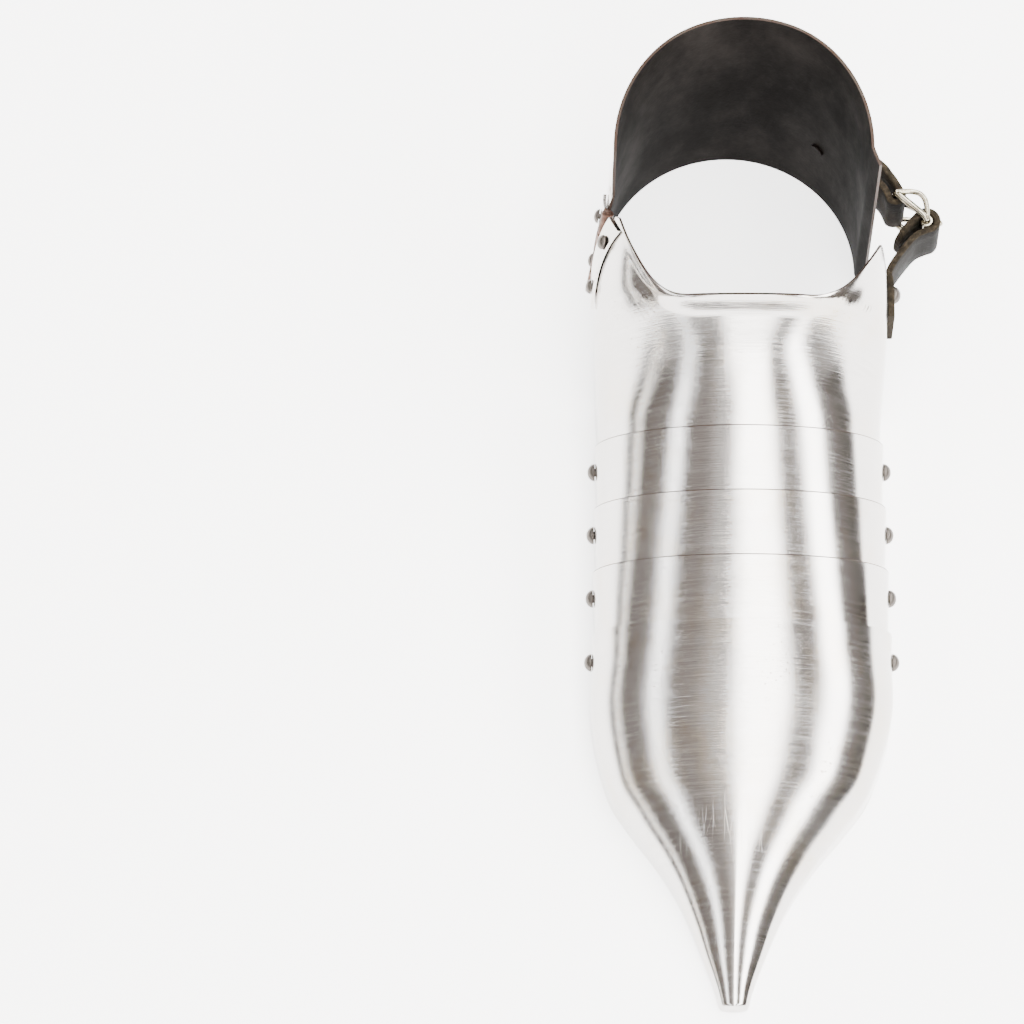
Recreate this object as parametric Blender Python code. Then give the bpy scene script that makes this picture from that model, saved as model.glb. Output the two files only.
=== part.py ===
"""One steel sabaton of a pair, for the left foot: a pointed toe plate, three lames, an instep plate
and a hinged heel plate, closed at the outer side by a strap and a roller buckle.

Lengths are in millimetres and become metres where an object is made.
X points to the outer side of the foot, Y to the heel, Z up. The plates stand on the plane Z = 0.
"""

import bmesh
import bpy
import math
from mathutils import Vector

MM = 0.001

# Sheet steel and the room between layers
SHEET = 1.2
SIDE_GAP = 0.35
TOP_GAP = 1.3
SEAT_GAP = 0.3

# Rivets that the lames turn on
RIVET_Y = 11.0
RIVET_PITCH = 27.0
RIVET_Z = 14.5
RIVET_HEAD_R = 3.5
RIVET_HEAD_H = 2.9
RIVET_SHANK_R = 1.6
RIVET_TAIL = 0.8
RIVET_SIDES = 10
DRILL_MARGIN = 4.0

# Foot lames: where the heel edge of each plate crosses the middle, and how far the ears reach
LAME_HALF_WIDTH = 57.3
LAME_WIDENING = 0.5
LAME_TOP_Z = 65.0
LAME_DROP = 3.7
FIRST_EDGE_Y = 10.9
EDGE_STEP = 25.7
EAR_REACH = 13.0
HIDDEN_LAP = 12.0
EAR_RADIUS = 8.0
SIDE_WALL = 17.0

# Toe plate
TOE_LENGTH = 150.6
BALL_HALF_WIDTH = 59.5
TOE_TOP_Z = 53.9
TIP_OFFSET = 4.4
TOE_END = 1.8

# Instep plate and ankle opening
ANKLE_FRONT_Y = 53.3
ANKLE_TOP_Z = 98.0
ANKLE_SIDE_TOP_Z = 105.0
ANKLE_SIDE_Y = 75.0
ANKLE_SPREAD = 0.7
ANKLE_SIDE_WALL = 45.0
RISE_LENGTH = 51.0
INNER_OPENING_DEPTH = 86.0
OUTER_OPENING_DEPTH = 38.0
LIP_WIDTH = 7.0
LIP_FLARE = 1.8
LIP_LIFT = 0.7
LIP_FADE_Z = 40.0

# Heel plate
HEEL_CENTRE_Y = 104.0
HEEL_RIM_R = 50.6
HEEL_SOLE_R = 52.5
HEEL_LEAN = 3.0
HEEL_BACK_Z = 133.0
HEEL_SIDE_Z = 114.0
HEEL_FRONT_EXTRA = 6.0
HEEL_FRONT_FLARE = 3.0

# Line where heel plate and instep plate part on the inner side, and the hinge on it
SPLIT_SOLE_Y = 43.5
SPLIT_TILT = math.radians(30.0)
HINGE_LOW_Z = 52.0
HINGE_HIGH_Z = 85.0
KNUCKLE_R = 2.4
KNUCKLE_ROOM = 1.2
PIN_R = 1.1
LEAF_WIDTH = 12.5
LEAF_SHEET = 1.2
LEAF_GAP = 0.5
CENTRE_KNUCKLE_SHARE = 0.46
HINGE_RIVET_R = 2.6
HINGE_RIVET_H = 1.5
HINGE_RIVET_SHANK_R = 1.1

# Straps and buckle
STRAP_WIDTH = 23.0
STRAP_THICKNESS = 2.6
STRAP_Z = 40.0
STRAP_FRONT_Y = 63.0
STRAP_RIVET_Y = 77.0
STRAP_LEAVES_Y = 84.0
HEEL_RIVET_ANGLE = math.radians(47.0)
BAR_X = 62.7
BAR_Y = 116.0
BUCKLE_REACH = 16.6
BUCKLE_ANGLE = math.radians(-42.5)
BUCKLE_HEIGHT = 27.0
WIRE_R = 1.4
BOW_R = 1.1
BOW_DEPTH = 6.0
ROLLER_R = 2.6
ROLLER_LENGTH = 22.0
PRONG_R = 1.1
PRONG_TIP = 2.5
TAIL_LENGTH = 13.0
SLOT_HEIGHT = 3.4
WIRE_BEND = 1.6

# Straps in plan, in shares of the buckle's reach: places beside the roller and beside the inner bar
FRONT_STRAP_TURN = (-0.19, -0.54)
HEEL_STRAP_BOW = (
    # outwards, to the heel
    (-0.572, 0.783),
    (-0.217, 0.373),
)
HEEL_STRAP_BACK = (
    # outwards, to the heel
    (-0.139, 0.313),
    (-0.410, 0.639),
)
PRONG_SHOULDERS = (
    # before the roller, height as a share of the full height over it
    (0.434, 0.79),
    (0.217, 1.0),
)

# Finenesses
ARCH_STEPS = 24
TOE_ROWS = 14
LAME_ROWS = 4
INSTEP_ROWS = 9
HEEL_STEPS = 28
HEEL_ROWS = 8
TUBE_SIDES = 10

# Toe plate: share of its length, half width as a share of the ball's, height as a share of its top
TOE_SECTIONS = (
    # along, width, height, bluntness
    (-0.09, 1.002, 1.06, 2.0),
    (0.00, 0.998, 1.030, 2.0),
    (0.09, 0.991, 0.990, 2.0),
    (0.21, 0.999, 0.930, 2.0),
    (0.29, 0.972, 0.860, 2.0),
    (0.38, 0.912, 0.770, 1.95),
    (0.46, 0.835, 0.690, 1.9),
    (0.54, 0.695, 0.590, 1.8),
    (0.63, 0.520, 0.480, 1.7),
    (0.71, 0.390, 0.385, 1.65),
    (0.79, 0.290, 0.300, 1.6),
    (0.87, 0.208, 0.215, 1.6),
    (0.95, 0.132, 0.150, 1.7),
    (1.00, 0.098, 0.120, 1.8),
    (1.05, 0.080, 0.100, 1.8),
)


def clear_scene():
    for old in list(bpy.data.objects):
        bpy.data.objects.remove(old, do_unlink=True)


def material(name, colour, metallic, roughness):
    found = bpy.data.materials.get(name) or bpy.data.materials.new(name)
    found.use_nodes = True
    shader = found.node_tree.nodes["Principled BSDF"]
    shader.inputs["Base Color"].default_value = (*colour, 1.0)
    shader.inputs["Metallic"].default_value = metallic
    shader.inputs["Roughness"].default_value = roughness
    return found


def steel():
    return material("polished_steel", (0.56, 0.55, 0.53), 1.0, 0.25)


def hinge_metal():
    return material("coppered_steel", (0.48, 0.33, 0.26), 1.0, 0.4)


def rivet_metal():
    return material("rivet_steel", (0.72, 0.71, 0.69), 1.0, 0.2)


def buckle_metal():
    return material("buckle_nickel", (0.74, 0.70, 0.60), 1.0, 0.2)


def leather():
    return material("black_leather", (0.035, 0.03, 0.028), 0.0, 0.6)


def add_object(name, verts, faces, finish, origin=(0.0, 0.0, 0.0), smooth=True):
    """A closed solid with its origin at the given point, turned right side out."""
    origin = Vector(origin)
    bm = bmesh.new()
    made = [bm.verts.new((Vector(v) - origin) * MM) for v in verts]
    for face in faces:
        bm.faces.new([made[i] for i in face])
    bmesh.ops.triangulate(bm, faces=[f for f in bm.faces if len(f.verts) > 4])
    if bm.calc_volume(signed=True) < 0.0:
        bmesh.ops.reverse_faces(bm, faces=bm.faces)
    mesh = bpy.data.meshes.new(name)
    bm.to_mesh(mesh)
    bm.free()
    if smooth:
        mesh.shade_smooth()
        mesh.set_sharp_from_angle(angle=math.radians(35.0))
    mesh.materials.append(finish)
    made_object = bpy.data.objects.new(name, mesh)
    made_object.location = origin * MM
    bpy.context.collection.objects.link(made_object)
    return made_object


def as_cutter(tool):
    tool.hide_render = True
    tool.display_type = "WIRE"
    return tool


def boolean(target, tool, operation):
    step = target.modifiers.new(operation.lower(), "BOOLEAN")
    step.operation = operation
    step.solver = "EXACT"
    step.object = tool


def read_table(rows, at):
    """The columns of a table at a share of its length, on a smooth curve through its rows."""
    last = len(rows) - 2
    k = next((i for i in range(last + 1) if at <= rows[i + 1][0]), last)
    before, start, end, after = rows[max(k - 1, 0)], rows[k], rows[k + 1], rows[min(k + 2, last + 1)]
    t = (at - start[0]) / (end[0] - start[0])
    values = []
    for column in range(1, len(start)):
        slope_in = (end[column] - before[column]) / (end[0] - before[0]) * (end[0] - start[0])
        slope_out = (after[column] - start[column]) / (after[0] - start[0]) * (end[0] - start[0])
        cubic = (2 * t ** 3 - 3 * t ** 2 + 1) * start[column] + (t ** 3 - 2 * t ** 2 + t) * slope_in
        cubic += (3 * t ** 2 - 2 * t ** 3) * end[column] + (t ** 3 - t ** 2) * slope_out
        values.append(cubic)
    return values


def smooth_step(t):
    t = min(max(t, 0.0), 1.0)
    return t * t * (3.0 - 2.0 * t)


def arch_point(half_width, top, side_wall, bluntness, angle):
    """One point of an arched section: upright walls, then a rounded crown. Angle 0 is the inner side."""
    across = math.cos(angle)
    up = math.sin(angle)
    power = 2.0 / bluntness
    x = -half_width * math.copysign(abs(across) ** power, across)
    return x, side_wall + (top - side_wall) * up ** power


def arch_angles():
    """Column parameters: below 0 and above 1 the point runs down the upright wall to the sole."""
    crown = [i / ARCH_STEPS for i in range(ARCH_STEPS + 1)]
    wall = (0.15, 0.5, 1.0)
    return [-w for w in reversed(wall)] + crown + [1.0 + w for w in wall]


def arch_column(half_width, top, side_wall, bluntness, column):
    """Section point at a column parameter, with the upright wall below the crown."""
    x, z = arch_point(half_width, top, side_wall, bluntness, math.pi * min(max(column, 0.0), 1.0))
    drop = max(-column, column - 1.0, 0.0)
    return x, z * (1.0 - drop)


def grid_normals(rows):
    count, width = len(rows), len(rows[0])
    normals = []
    total = 0.0
    for i in range(count):
        middle = sum(rows[i], Vector()) / width
        line = []
        for j in range(width):
            along = rows[min(i + 1, count - 1)][j] - rows[max(i - 1, 0)][j]
            across = rows[i][min(j + 1, width - 1)] - rows[i][max(j - 1, 0)]
            normal = across.cross(along).normalized()
            total += normal.dot(rows[i][j] - middle)
            line.append(normal)
        normals.append(line)
    if total < 0.0:
        normals = [[-n for n in line] for line in normals]
    return normals


def shell(name, rows, thickness, finish, origin=(0.0, 0.0, 0.0)):
    """Sheet metal from a grid of points on its outer face, offset inwards by its thickness."""
    normals = grid_normals(rows)
    count, width = len(rows), len(rows[0])
    outer = [p for line in rows for p in line]
    inner = []
    for line, facing in zip(rows, normals):
        for point, normal in zip(line, facing):
            moved = point - normal * thickness
            if point.z < 1e-6:
                level = Vector((normal.x, normal.y, 0.0)).normalized()
                moved = point - level * thickness
            inner.append(Vector((moved.x, moved.y, max(moved.z, 0.0))))
    faces = []
    size = count * width

    def at(i, j):
        return i * width + j

    for i in range(count - 1):
        for j in range(width - 1):
            ring = [at(i, j), at(i, j + 1), at(i + 1, j + 1), at(i + 1, j)]
            faces.append(ring)
            faces.append([size + k for k in reversed(ring)])
    border = [at(0, j) for j in range(width)] + [at(i, width - 1) for i in range(1, count)]
    border += [at(count - 1, j) for j in range(width - 2, -1, -1)] + [at(i, 0) for i in range(count - 2, 0, -1)]
    for a, b in zip(border, border[1:] + border[:1]):
        faces.append([b, a, size + a, size + b])
    return add_object(name, outer + inner, faces, finish, origin)


# Places of the four pivots and of the heel edges that cross the middle, from lame 1 to the toe plate
def pivot_y(k):
    return RIVET_Y - k * RIVET_PITCH


def edge_y(k):
    return FIRST_EDGE_Y - k * EDGE_STEP


def pivot_width(k):
    return LAME_HALF_WIDTH + k * LAME_WIDENING


def edge_z(k):
    return LAME_TOP_Z - k * LAME_DROP


def under_width(k):
    """Half width that fits under plate k at its pivot."""
    return pivot_width(k) - SHEET - SIDE_GAP


def under_top(k, y):
    """Height of the middle line that fits under plate k."""
    return plate_top(k, y) - SHEET - TOP_GAP


def plate_width(k, y):
    """Outer half width of lame k at y; plate 3 is the toe plate."""
    if k == 3:
        return toe_section(y)[0]
    share = (pivot_y(k) - y) / RIVET_PITCH
    return pivot_width(k) + (under_width(k + 1) - pivot_width(k)) * share


def plate_top(k, y):
    if k == 3:
        return toe_section(y)[1]
    if y < edge_y(k + 1):
        return under_top(k + 1, y)
    share = (edge_y(k) - y) / EDGE_STEP
    return edge_z(k) + (under_top(k + 1, edge_y(k + 1)) - edge_z(k)) * share


def toe_section(y):
    """Half width, height and bluntness of the toe plate at y."""
    share = (pivot_y(3) + EAR_REACH - y) / TOE_LENGTH
    width, height, bluntness = read_table(TOE_SECTIONS, share)
    return width * BALL_HALF_WIDTH, height * TOE_TOP_Z, bluntness


def ear_curve(z, sole_y, top_y, top_z, corner=EAR_RADIUS):
    """Heel edge of a plate seen from the side: it leans to the toe, with a rounded ear at the sole."""
    lean = sole_y + (top_y - sole_y) * min(z / top_z, 1.0)
    if z < corner:
        lean -= corner - math.sqrt(corner ** 2 - (corner - z) ** 2)
    return lean


def lame(k):
    """Lame k, from its heel edge to the hidden edge under the next plate."""
    rows = []
    for i in range(LAME_ROWS + 1):
        share = i / LAME_ROWS
        line = []
        for column in arch_angles():
            y = edge_y(k)
            for _ in range(12):
                x, z = arch_column(plate_width(k, y), plate_top(k, y), SIDE_WALL, 2.0, column)
                heel = ear_curve(z, pivot_y(k) + EAR_REACH, edge_y(k), edge_z(k))
                toe_low = pivot_y(k + 1) - HIDDEN_LAP
                toe_high = edge_y(k + 1) - HIDDEN_LAP
                toe = 2.0 * toe_low - ear_curve(z, toe_low, 2.0 * toe_low - toe_high, edge_z(k))
                y = heel + (toe - heel) * share
            line.append(Vector((x, y, z)))
        rows.append(line)
    return shell(f"lame_{k + 1}", rows, SHEET, steel(), (0.0, pivot_y(k), RIVET_Z))


def toe_plate():
    """The toe plate runs from its ears to a narrow blunt tip that is drawn to the inner side."""
    tip_y = pivot_y(3) + EAR_REACH - TOE_LENGTH
    rows = []
    for i in range(TOE_ROWS + 1):
        share = i / TOE_ROWS
        line = []
        for column in arch_angles():
            y = edge_y(3)
            for _ in range(12):
                width, top, bluntness = toe_section(y)
                wall = SIDE_WALL * min(top / TOE_TOP_Z, 1.0)
                x, z = arch_column(width, top, wall, bluntness, column)
                heel = ear_curve(z, pivot_y(3) + EAR_REACH, edge_y(3), toe_section(edge_y(3))[1])
                y = heel + (tip_y - heel) * share
            x -= TIP_OFFSET * smooth_step((edge_y(3) - y) / (edge_y(3) - tip_y))
            line.append(Vector((x, y, z)))
        rows.append(line)
    for scale, forward in ((0.8, 0.7), (0.45, 1.0), (0.1, 1.05)):
        line = []
        for point in rows[TOE_ROWS]:
            x = -TIP_OFFSET + (point.x + TIP_OFFSET) * scale
            line.append(Vector((x, tip_y - TOE_END * forward, point.z * scale)))
        rows.append(line)
    return shell("toe_plate", rows, SHEET, steel(), (0.0, pivot_y(3), RIVET_Z))


def split_y(z):
    """The line where the heel plate and the instep plate part, upright above the hinge."""
    return SPLIT_SOLE_Y + min(z, HINGE_HIGH_Z + KNUCKLE_R) * math.tan(SPLIT_TILT)


def instep_taper():
    """Growth of the instep plate's half width for each millimetre towards the heel."""
    return (pivot_width(0) - under_width(1)) / RIVET_PITCH


def ankle_half_width():
    return under_width(0) + (ANKLE_FRONT_Y - pivot_y(0)) * instep_taper() + ANKLE_SPREAD


def instep_section(y):
    """Half width, height, side wall and bluntness of the instep plate at y."""
    ear_y = pivot_y(0) + EAR_REACH
    spread = smooth_step((y - ear_y) / (ANKLE_FRONT_Y - ear_y))
    width = under_width(0) + (min(y, ANKLE_FRONT_Y) - pivot_y(0)) * instep_taper() + ANKLE_SPREAD * spread
    rise = smooth_step((y - pivot_y(0) - 0.5 * EAR_REACH) / RISE_LENGTH)
    if y < edge_y(0):
        top = under_top(0, y)
    else:
        # a hollow curve that starts as flat as the lames and steepens up to the ankle
        along = min(y, ANKLE_FRONT_Y) - edge_y(0)
        climb = ANKLE_FRONT_Y - edge_y(0)
        start = under_top(0, edge_y(0)) + along * LAME_DROP / EDGE_STEP
        end = under_top(0, edge_y(0)) + climb * LAME_DROP / EDGE_STEP
        top = start + (ANKLE_TOP_Z - end) * (along / climb) ** 2
        beside = smooth_step((y - ANKLE_FRONT_Y) / (ANKLE_SIDE_Y - ANKLE_FRONT_Y))
        top += (ANKLE_SIDE_TOP_Z - ANKLE_TOP_Z) * beside
    return width, top, SIDE_WALL + (ANKLE_SIDE_WALL - SIDE_WALL) * rise, 2.0 + rise


def instep_wall_x(y, z):
    """Outer half width of the instep plate's wall at a place on its side."""
    width, top, wall, bluntness = instep_section(y)
    up = max(z - wall, 0.0) / (top - wall)
    return width * max(1.0 - up ** bluntness, 0.0) ** (1.0 / bluntness)


def instep_plate():
    """The instep plate rises from under lame 1 to the ankle, with a turned-out lip in front."""
    rows = []
    set_back = KNUCKLE_R + KNUCKLE_ROOM
    for i in range(INSTEP_ROWS + 1):
        share = i / INSTEP_ROWS
        line = []
        for column in arch_angles():
            y = edge_y(0)
            for _ in range(90):
                x, z = arch_column(*instep_section(y), column)
                toe_low = pivot_y(0) - HIDDEN_LAP
                toe_high = edge_y(0) - HIDDEN_LAP
                toe = 2.0 * toe_low - ear_curve(z, toe_low, 2.0 * toe_low - toe_high, LAME_TOP_Z)
                out = abs(x) / ankle_half_width()
                depth = INNER_OPENING_DEPTH if x < 0.0 else OUTER_OPENING_DEPTH
                opening = ANKLE_FRONT_Y + depth * out ** 5
                heel = min(split_y(z) - set_back / math.cos(SPLIT_TILT), opening)
                wanted = toe + (heel - toe) * share
                y += 0.2 * (wanted - y)
            lip = smooth_step(1.0 - (opening - y) / LIP_WIDTH) * smooth_step((z - ANKLE_SIDE_WALL) / LIP_FADE_Z)
            front = 1.0 - smooth_step((out - 0.5) / 0.45)
            line.append(Vector((x, y - LIP_FLARE * lip * front, z + LIP_LIFT * lip * front)))
        rows.append(line)
    return shell("instep_plate", rows, SHEET, steel())


def heel_circle(z):
    """Centre and outer radius of the heel plate at height z."""
    share = z / HEEL_BACK_Z
    return -HEEL_LEAN * (1.0 - share), HEEL_SOLE_R + (HEEL_RIM_R - HEEL_SOLE_R) * share


def heel_wall_x(y, z):
    """Outer half width of the heel plate's inner side, between the split line and the round back."""
    centre, radius = heel_circle(z)
    front_y = split_y(z)
    front_x = instep_wall_x(front_y, min(z, HINGE_HIGH_Z + KNUCKLE_R))
    share = (HEEL_CENTRE_Y - y) / (HEEL_CENTRE_Y - front_y)
    return (radius - centre) + (front_x - (radius - centre)) * share


def heel_point(u, z):
    """Outer face of the heel plate. u runs from the inner front edge round the back to the outer one."""
    centre, radius = heel_circle(z)
    front_y = split_y(z) + (KNUCKLE_R + KNUCKLE_ROOM) / math.cos(SPLIT_TILT)
    inner_share = 0.22
    outer_share = 0.06
    if u < inner_share:
        y = front_y + (HEEL_CENTRE_Y - front_y) * u / inner_share
        return Vector((-heel_wall_x(y, z), y, z))
    if u > 1.0 - outer_share:
        out = (u - 1.0 + outer_share) / outer_share
        return Vector((centre + radius + HEEL_FRONT_FLARE * out, HEEL_CENTRE_Y - HEEL_FRONT_EXTRA * out, z))
    turn = math.pi * (u - inner_share) / (1.0 - outer_share - inner_share)
    return Vector((centre - radius * math.cos(turn), HEEL_CENTRE_Y + radius * math.sin(turn), z))


def heel_rim_z(u):
    """The rim is highest at the back, and drops to the hinge at the inner front edge."""
    back = 1.0 - abs(2.0 * u - 1.14) / 1.14
    rim = HEEL_SIDE_Z + (HEEL_BACK_Z - HEEL_SIDE_Z) * smooth_step(1.2 * back)
    low = HINGE_HIGH_Z + KNUCKLE_R
    return low + (rim - low) * smooth_step(u / 0.2 + 0.08)


def heel_plate():
    rows = []
    for i in range(HEEL_ROWS + 1):
        line = []
        for j in range(HEEL_STEPS + 1):
            u = j / HEEL_STEPS
            line.append(heel_point(u, heel_rim_z(u) * i / HEEL_ROWS))
        rows.append(line)
    return shell("heel_plate", rows, SHEET, steel())


def lathe(name, base, axis, profile, finish, origin=None, sides=RIVET_SIDES):
    """A solid of revolution. The profile lists (distance along the axis, radius), ends on the axis."""
    axis = Vector(axis).normalized()
    side = axis.orthogonal().normalized()
    other = axis.cross(side)
    verts = [Vector(base) + axis * profile[0][0]]
    for distance, radius in profile[1:-1]:
        for i in range(sides):
            turn = 2.0 * math.pi * i / sides
            spoke = side * math.cos(turn) + other * math.sin(turn)
            verts.append(Vector(base) + axis * distance + spoke * radius)
    verts.append(Vector(base) + axis * profile[-1][0])
    faces = []
    rings = len(profile) - 2
    for i in range(sides):
        after = (i + 1) % sides
        faces.append([0, 1 + i, 1 + after])
        for ring in range(rings - 1):
            low, high = 1 + ring * sides, 1 + (ring + 1) * sides
            faces.append([low + after, low + i, high + i, high + after])
        faces.append([len(verts) - 1, 1 + (rings - 1) * sides + after, 1 + (rings - 1) * sides + i])
    return add_object(name, verts, faces, finish, base if origin is None else origin)


def rivet(name, base, axis, stack, head_r=RIVET_HEAD_R, head_h=RIVET_HEAD_H, shank_r=RIVET_SHANK_R):
    """A round-headed rivet on the point base, through a stack of layers, with a flat tail inside."""
    profile = [(SEAT_GAP + head_h, 0.0)]
    for turn in (30.0, 60.0, 90.0):
        angle = math.radians(turn)
        profile.append((SEAT_GAP + head_h * math.cos(angle), head_r * math.sin(angle)))
    end = -stack - SEAT_GAP
    profile += [(SEAT_GAP, shank_r), (end, shank_r), (end, 0.85 * head_r), (end - RIVET_TAIL, 0.85 * head_r)]
    profile.append((end - RIVET_TAIL, 0.0))
    return lathe(name, base, axis, profile, rivet_metal())


def drill(name, base, axis, radius, back, forward):
    """A hidden round cutter from back to forward of the base point."""
    profile = [(forward, 0.0), (forward, radius), (-back, radius), (-back, 0.0)]
    return as_cutter(lathe(name, base, axis, profile, rivet_metal()))


def lame_rivets(plates):
    """Four pairs of rivets, through each plate and the one under it."""
    stack = 2.0 * SHEET + SIDE_GAP
    for k in range(4):
        reach = pivot_width(k) + RIVET_HEAD_R
        centre = (0.0, pivot_y(k), RIVET_Z)
        hole = drill(f"cut_pivot_{k + 1}", centre, (1, 0, 0), RIVET_SHANK_R + SEAT_GAP, reach, reach)
        boolean(plates[k], hole, "DIFFERENCE")
        boolean(plates[k + 1], hole, "DIFFERENCE")
        for side, label in ((-1, "inner"), (1, "outer")):
            base = (side * plate_width(k, pivot_y(k)), pivot_y(k), RIVET_Z)
            rivet(f"lame_rivet_{label}_{k + 1}", base, (side, 0, 0), stack)


def tube(name, points, radius, facing, finish, closed=False, sides=TUBE_SIDES):
    """Round wire along points that lie in one plane, whose normal is facing."""
    facing = Vector(facing).normalized()
    count = len(points)
    verts = []
    for i, point in enumerate(points):
        before = points[(i - 1) % count] if closed or i > 0 else point
        after = points[(i + 1) % count] if closed or i < count - 1 else point
        side = facing.cross((after - before).normalized()).normalized()
        for k in range(sides):
            turn = 2.0 * math.pi * k / sides
            verts.append(point + (side * math.cos(turn) + facing * math.sin(turn)) * radius)
    faces = []
    for i in range(count if closed else count - 1):
        for k in range(sides):
            after = (k + 1) % sides
            low, high = i * sides, ((i + 1) % count) * sides
            faces.append([low + k, low + after, high + after, high + k])
    if not closed:
        faces.append(list(reversed(range(sides))))
        faces.append([(count - 1) * sides + k for k in range(sides)])
    return add_object(name, verts, faces, finish)


def hinge_point(z):
    """Middle of the hinge pin at height z, in the middle of the leaves' thickness."""
    y = split_y(z)
    return Vector((-(instep_wall_x(y, z) + LEAF_GAP + 0.5 * LEAF_SHEET), y, z))


def hinge_leaf(name, front, spans, other_spans):
    """A hinge leaf bent to lie on the wall, with its knuckles round the pin."""
    low, high = hinge_point(HINGE_LOW_Z), hinge_point(HINGE_HIGH_Z)
    axis = (high - low).normalized()
    turn = -1.0 if front else 1.0
    away_y, away_z = turn * math.cos(SPLIT_TILT), -turn * math.sin(SPLIT_TILT)
    inside = 0.5 * (PIN_R + SEAT_GAP + KNUCKLE_R)
    steps = 4
    rows = []
    for i in range(steps + 1):
        line = []
        for j in range(steps + 1):
            z0 = HINGE_LOW_Z + (HINGE_HIGH_Z - HINGE_LOW_Z) * j / steps
            reach = inside + (LEAF_WIDTH - inside) * i / steps
            y, z = split_y(z0) + away_y * reach, z0 + away_z * reach
            wall = instep_wall_x(y, z) if front else heel_wall_x(y, z)
            line.append(Vector((-(wall + LEAF_GAP + LEAF_SHEET), y, z)))
        rows.append(line)
    outer = [p for line in rows for p in line]
    inner = [p + Vector((LEAF_SHEET, 0.0, 0.0)) for p in outer]
    width = steps + 1
    faces = []
    for i in range(steps):
        for j in range(steps):
            ring = [i * width + j, i * width + j + 1, (i + 1) * width + j + 1, (i + 1) * width + j]
            faces.append(ring)
            faces.append([len(outer) + k for k in reversed(ring)])
    border = list(range(width)) + [i * width + steps for i in range(1, width)]
    border += [steps * width + j for j in range(steps - 1, -1, -1)] + [i * width for i in range(steps - 1, 0, -1)]
    for a, b in zip(border, border[1:] + border[:1]):
        faces.append([b, a, len(outer) + a, len(outer) + b])
    leaf = add_object(name, outer + inner, faces, hinge_metal())
    length = (high - low).length
    for n, (start, end) in enumerate(other_spans):
        back, forward = -start * length + SEAT_GAP, end * length + SEAT_GAP
        boolean(leaf, drill(f"cut_{name}_{n}", low, axis, KNUCKLE_R + SEAT_GAP, back, forward), "DIFFERENCE")
    for n, (start, end) in enumerate(spans):
        knuckle = drill(f"form_{name}_{n}", low, axis, KNUCKLE_R, -start * length, end * length)
        boolean(leaf, knuckle, "UNION")
    boolean(leaf, drill(f"cut_{name}_pin", low, axis, PIN_R + SEAT_GAP, DRILL_MARGIN, length + DRILL_MARGIN),
            "DIFFERENCE")
    return leaf


def hinge(instep, heel):
    """The heel hinge on the inner side: two leaves, a pin and two rivets in each leaf."""
    start = 0.5 * (1.0 - CENTRE_KNUCKLE_SHARE)
    low, high = hinge_point(HINGE_LOW_Z), hinge_point(HINGE_HIGH_Z)
    axis = (high - low).normalized()
    length = (high - low).length
    centre_span = [(start, 1.0 - start)]
    end_spans = [(0.0, start - SEAT_GAP / length), (1.0 - start + SEAT_GAP / length, 1.0)]
    front_leaf = hinge_leaf("hinge_leaf_front", True, end_spans, centre_span)
    rear_leaf = hinge_leaf("hinge_leaf_rear", False, centre_span, end_spans)
    lathe("hinge_pin", low, axis, [(length, 0.0), (length, PIN_R), (0.0, PIN_R), (0.0, 0.0)], hinge_metal())
    for leaf, plate, front in ((front_leaf, instep, True), (rear_leaf, heel, False)):
        turn = -1.0 if front else 1.0
        for n, share in enumerate((0.22, 0.78)):
            z0 = HINGE_LOW_Z + (HINGE_HIGH_Z - HINGE_LOW_Z) * share
            reach = 0.7 * LEAF_WIDTH
            y = split_y(z0) + turn * math.cos(SPLIT_TILT) * reach
            z = z0 - turn * math.sin(SPLIT_TILT) * reach
            wall = instep_wall_x if front else heel_wall_x
            slope_y = wall(y + 1.0, z) - wall(y - 1.0, z)
            slope_z = wall(y, z + 1.0) - wall(y, z - 1.0)
            facing = Vector((-2.0, -slope_y, -slope_z)).normalized()
            base = Vector((-wall(y, z), y, z)) + facing * (LEAF_GAP + LEAF_SHEET)
            label = f"hinge_rivet_{'front' if front else 'rear'}_{n + 1}"
            stack = LEAF_SHEET + 2.0 * LEAF_GAP + SHEET
            rivet(label, base, facing, stack, HINGE_RIVET_R, HINGE_RIVET_H, HINGE_RIVET_SHANK_R)
            hole = drill(f"cut_{label}", base, facing, HINGE_RIVET_SHANK_R + SEAT_GAP, stack + DRILL_MARGIN, DRILL_MARGIN)
            boolean(leaf, hole, "DIFFERENCE")
            boolean(plate, hole, "DIFFERENCE")


def buckle_axes():
    """In plan: from the bar to the roller, and away from the foot."""
    along = Vector((math.cos(BUCKLE_ANGLE), math.sin(BUCKLE_ANGLE), 0.0))
    away = Vector((-along.y, along.x, 0.0))
    return along, away


def curve_through(points, steps=4):
    """A smooth curve through points in plan."""
    made = []
    for i in range(len(points) - 1):
        p0, p1, p2, p3 = points[max(i - 1, 0)], points[i], points[i + 1], points[min(i + 2, len(points) - 1)]
        for s in range(steps):
            t = s / steps
            value = 2.0 * p1 + (p2 - p0) * t + (2.0 * p0 - 5.0 * p1 + 4.0 * p2 - p3) * t ** 2
            made.append((value + (3.0 * p1 - p0 - 3.0 * p2 + p3) * t ** 3) * 0.5)
    made.append(points[-1])
    return made


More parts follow.
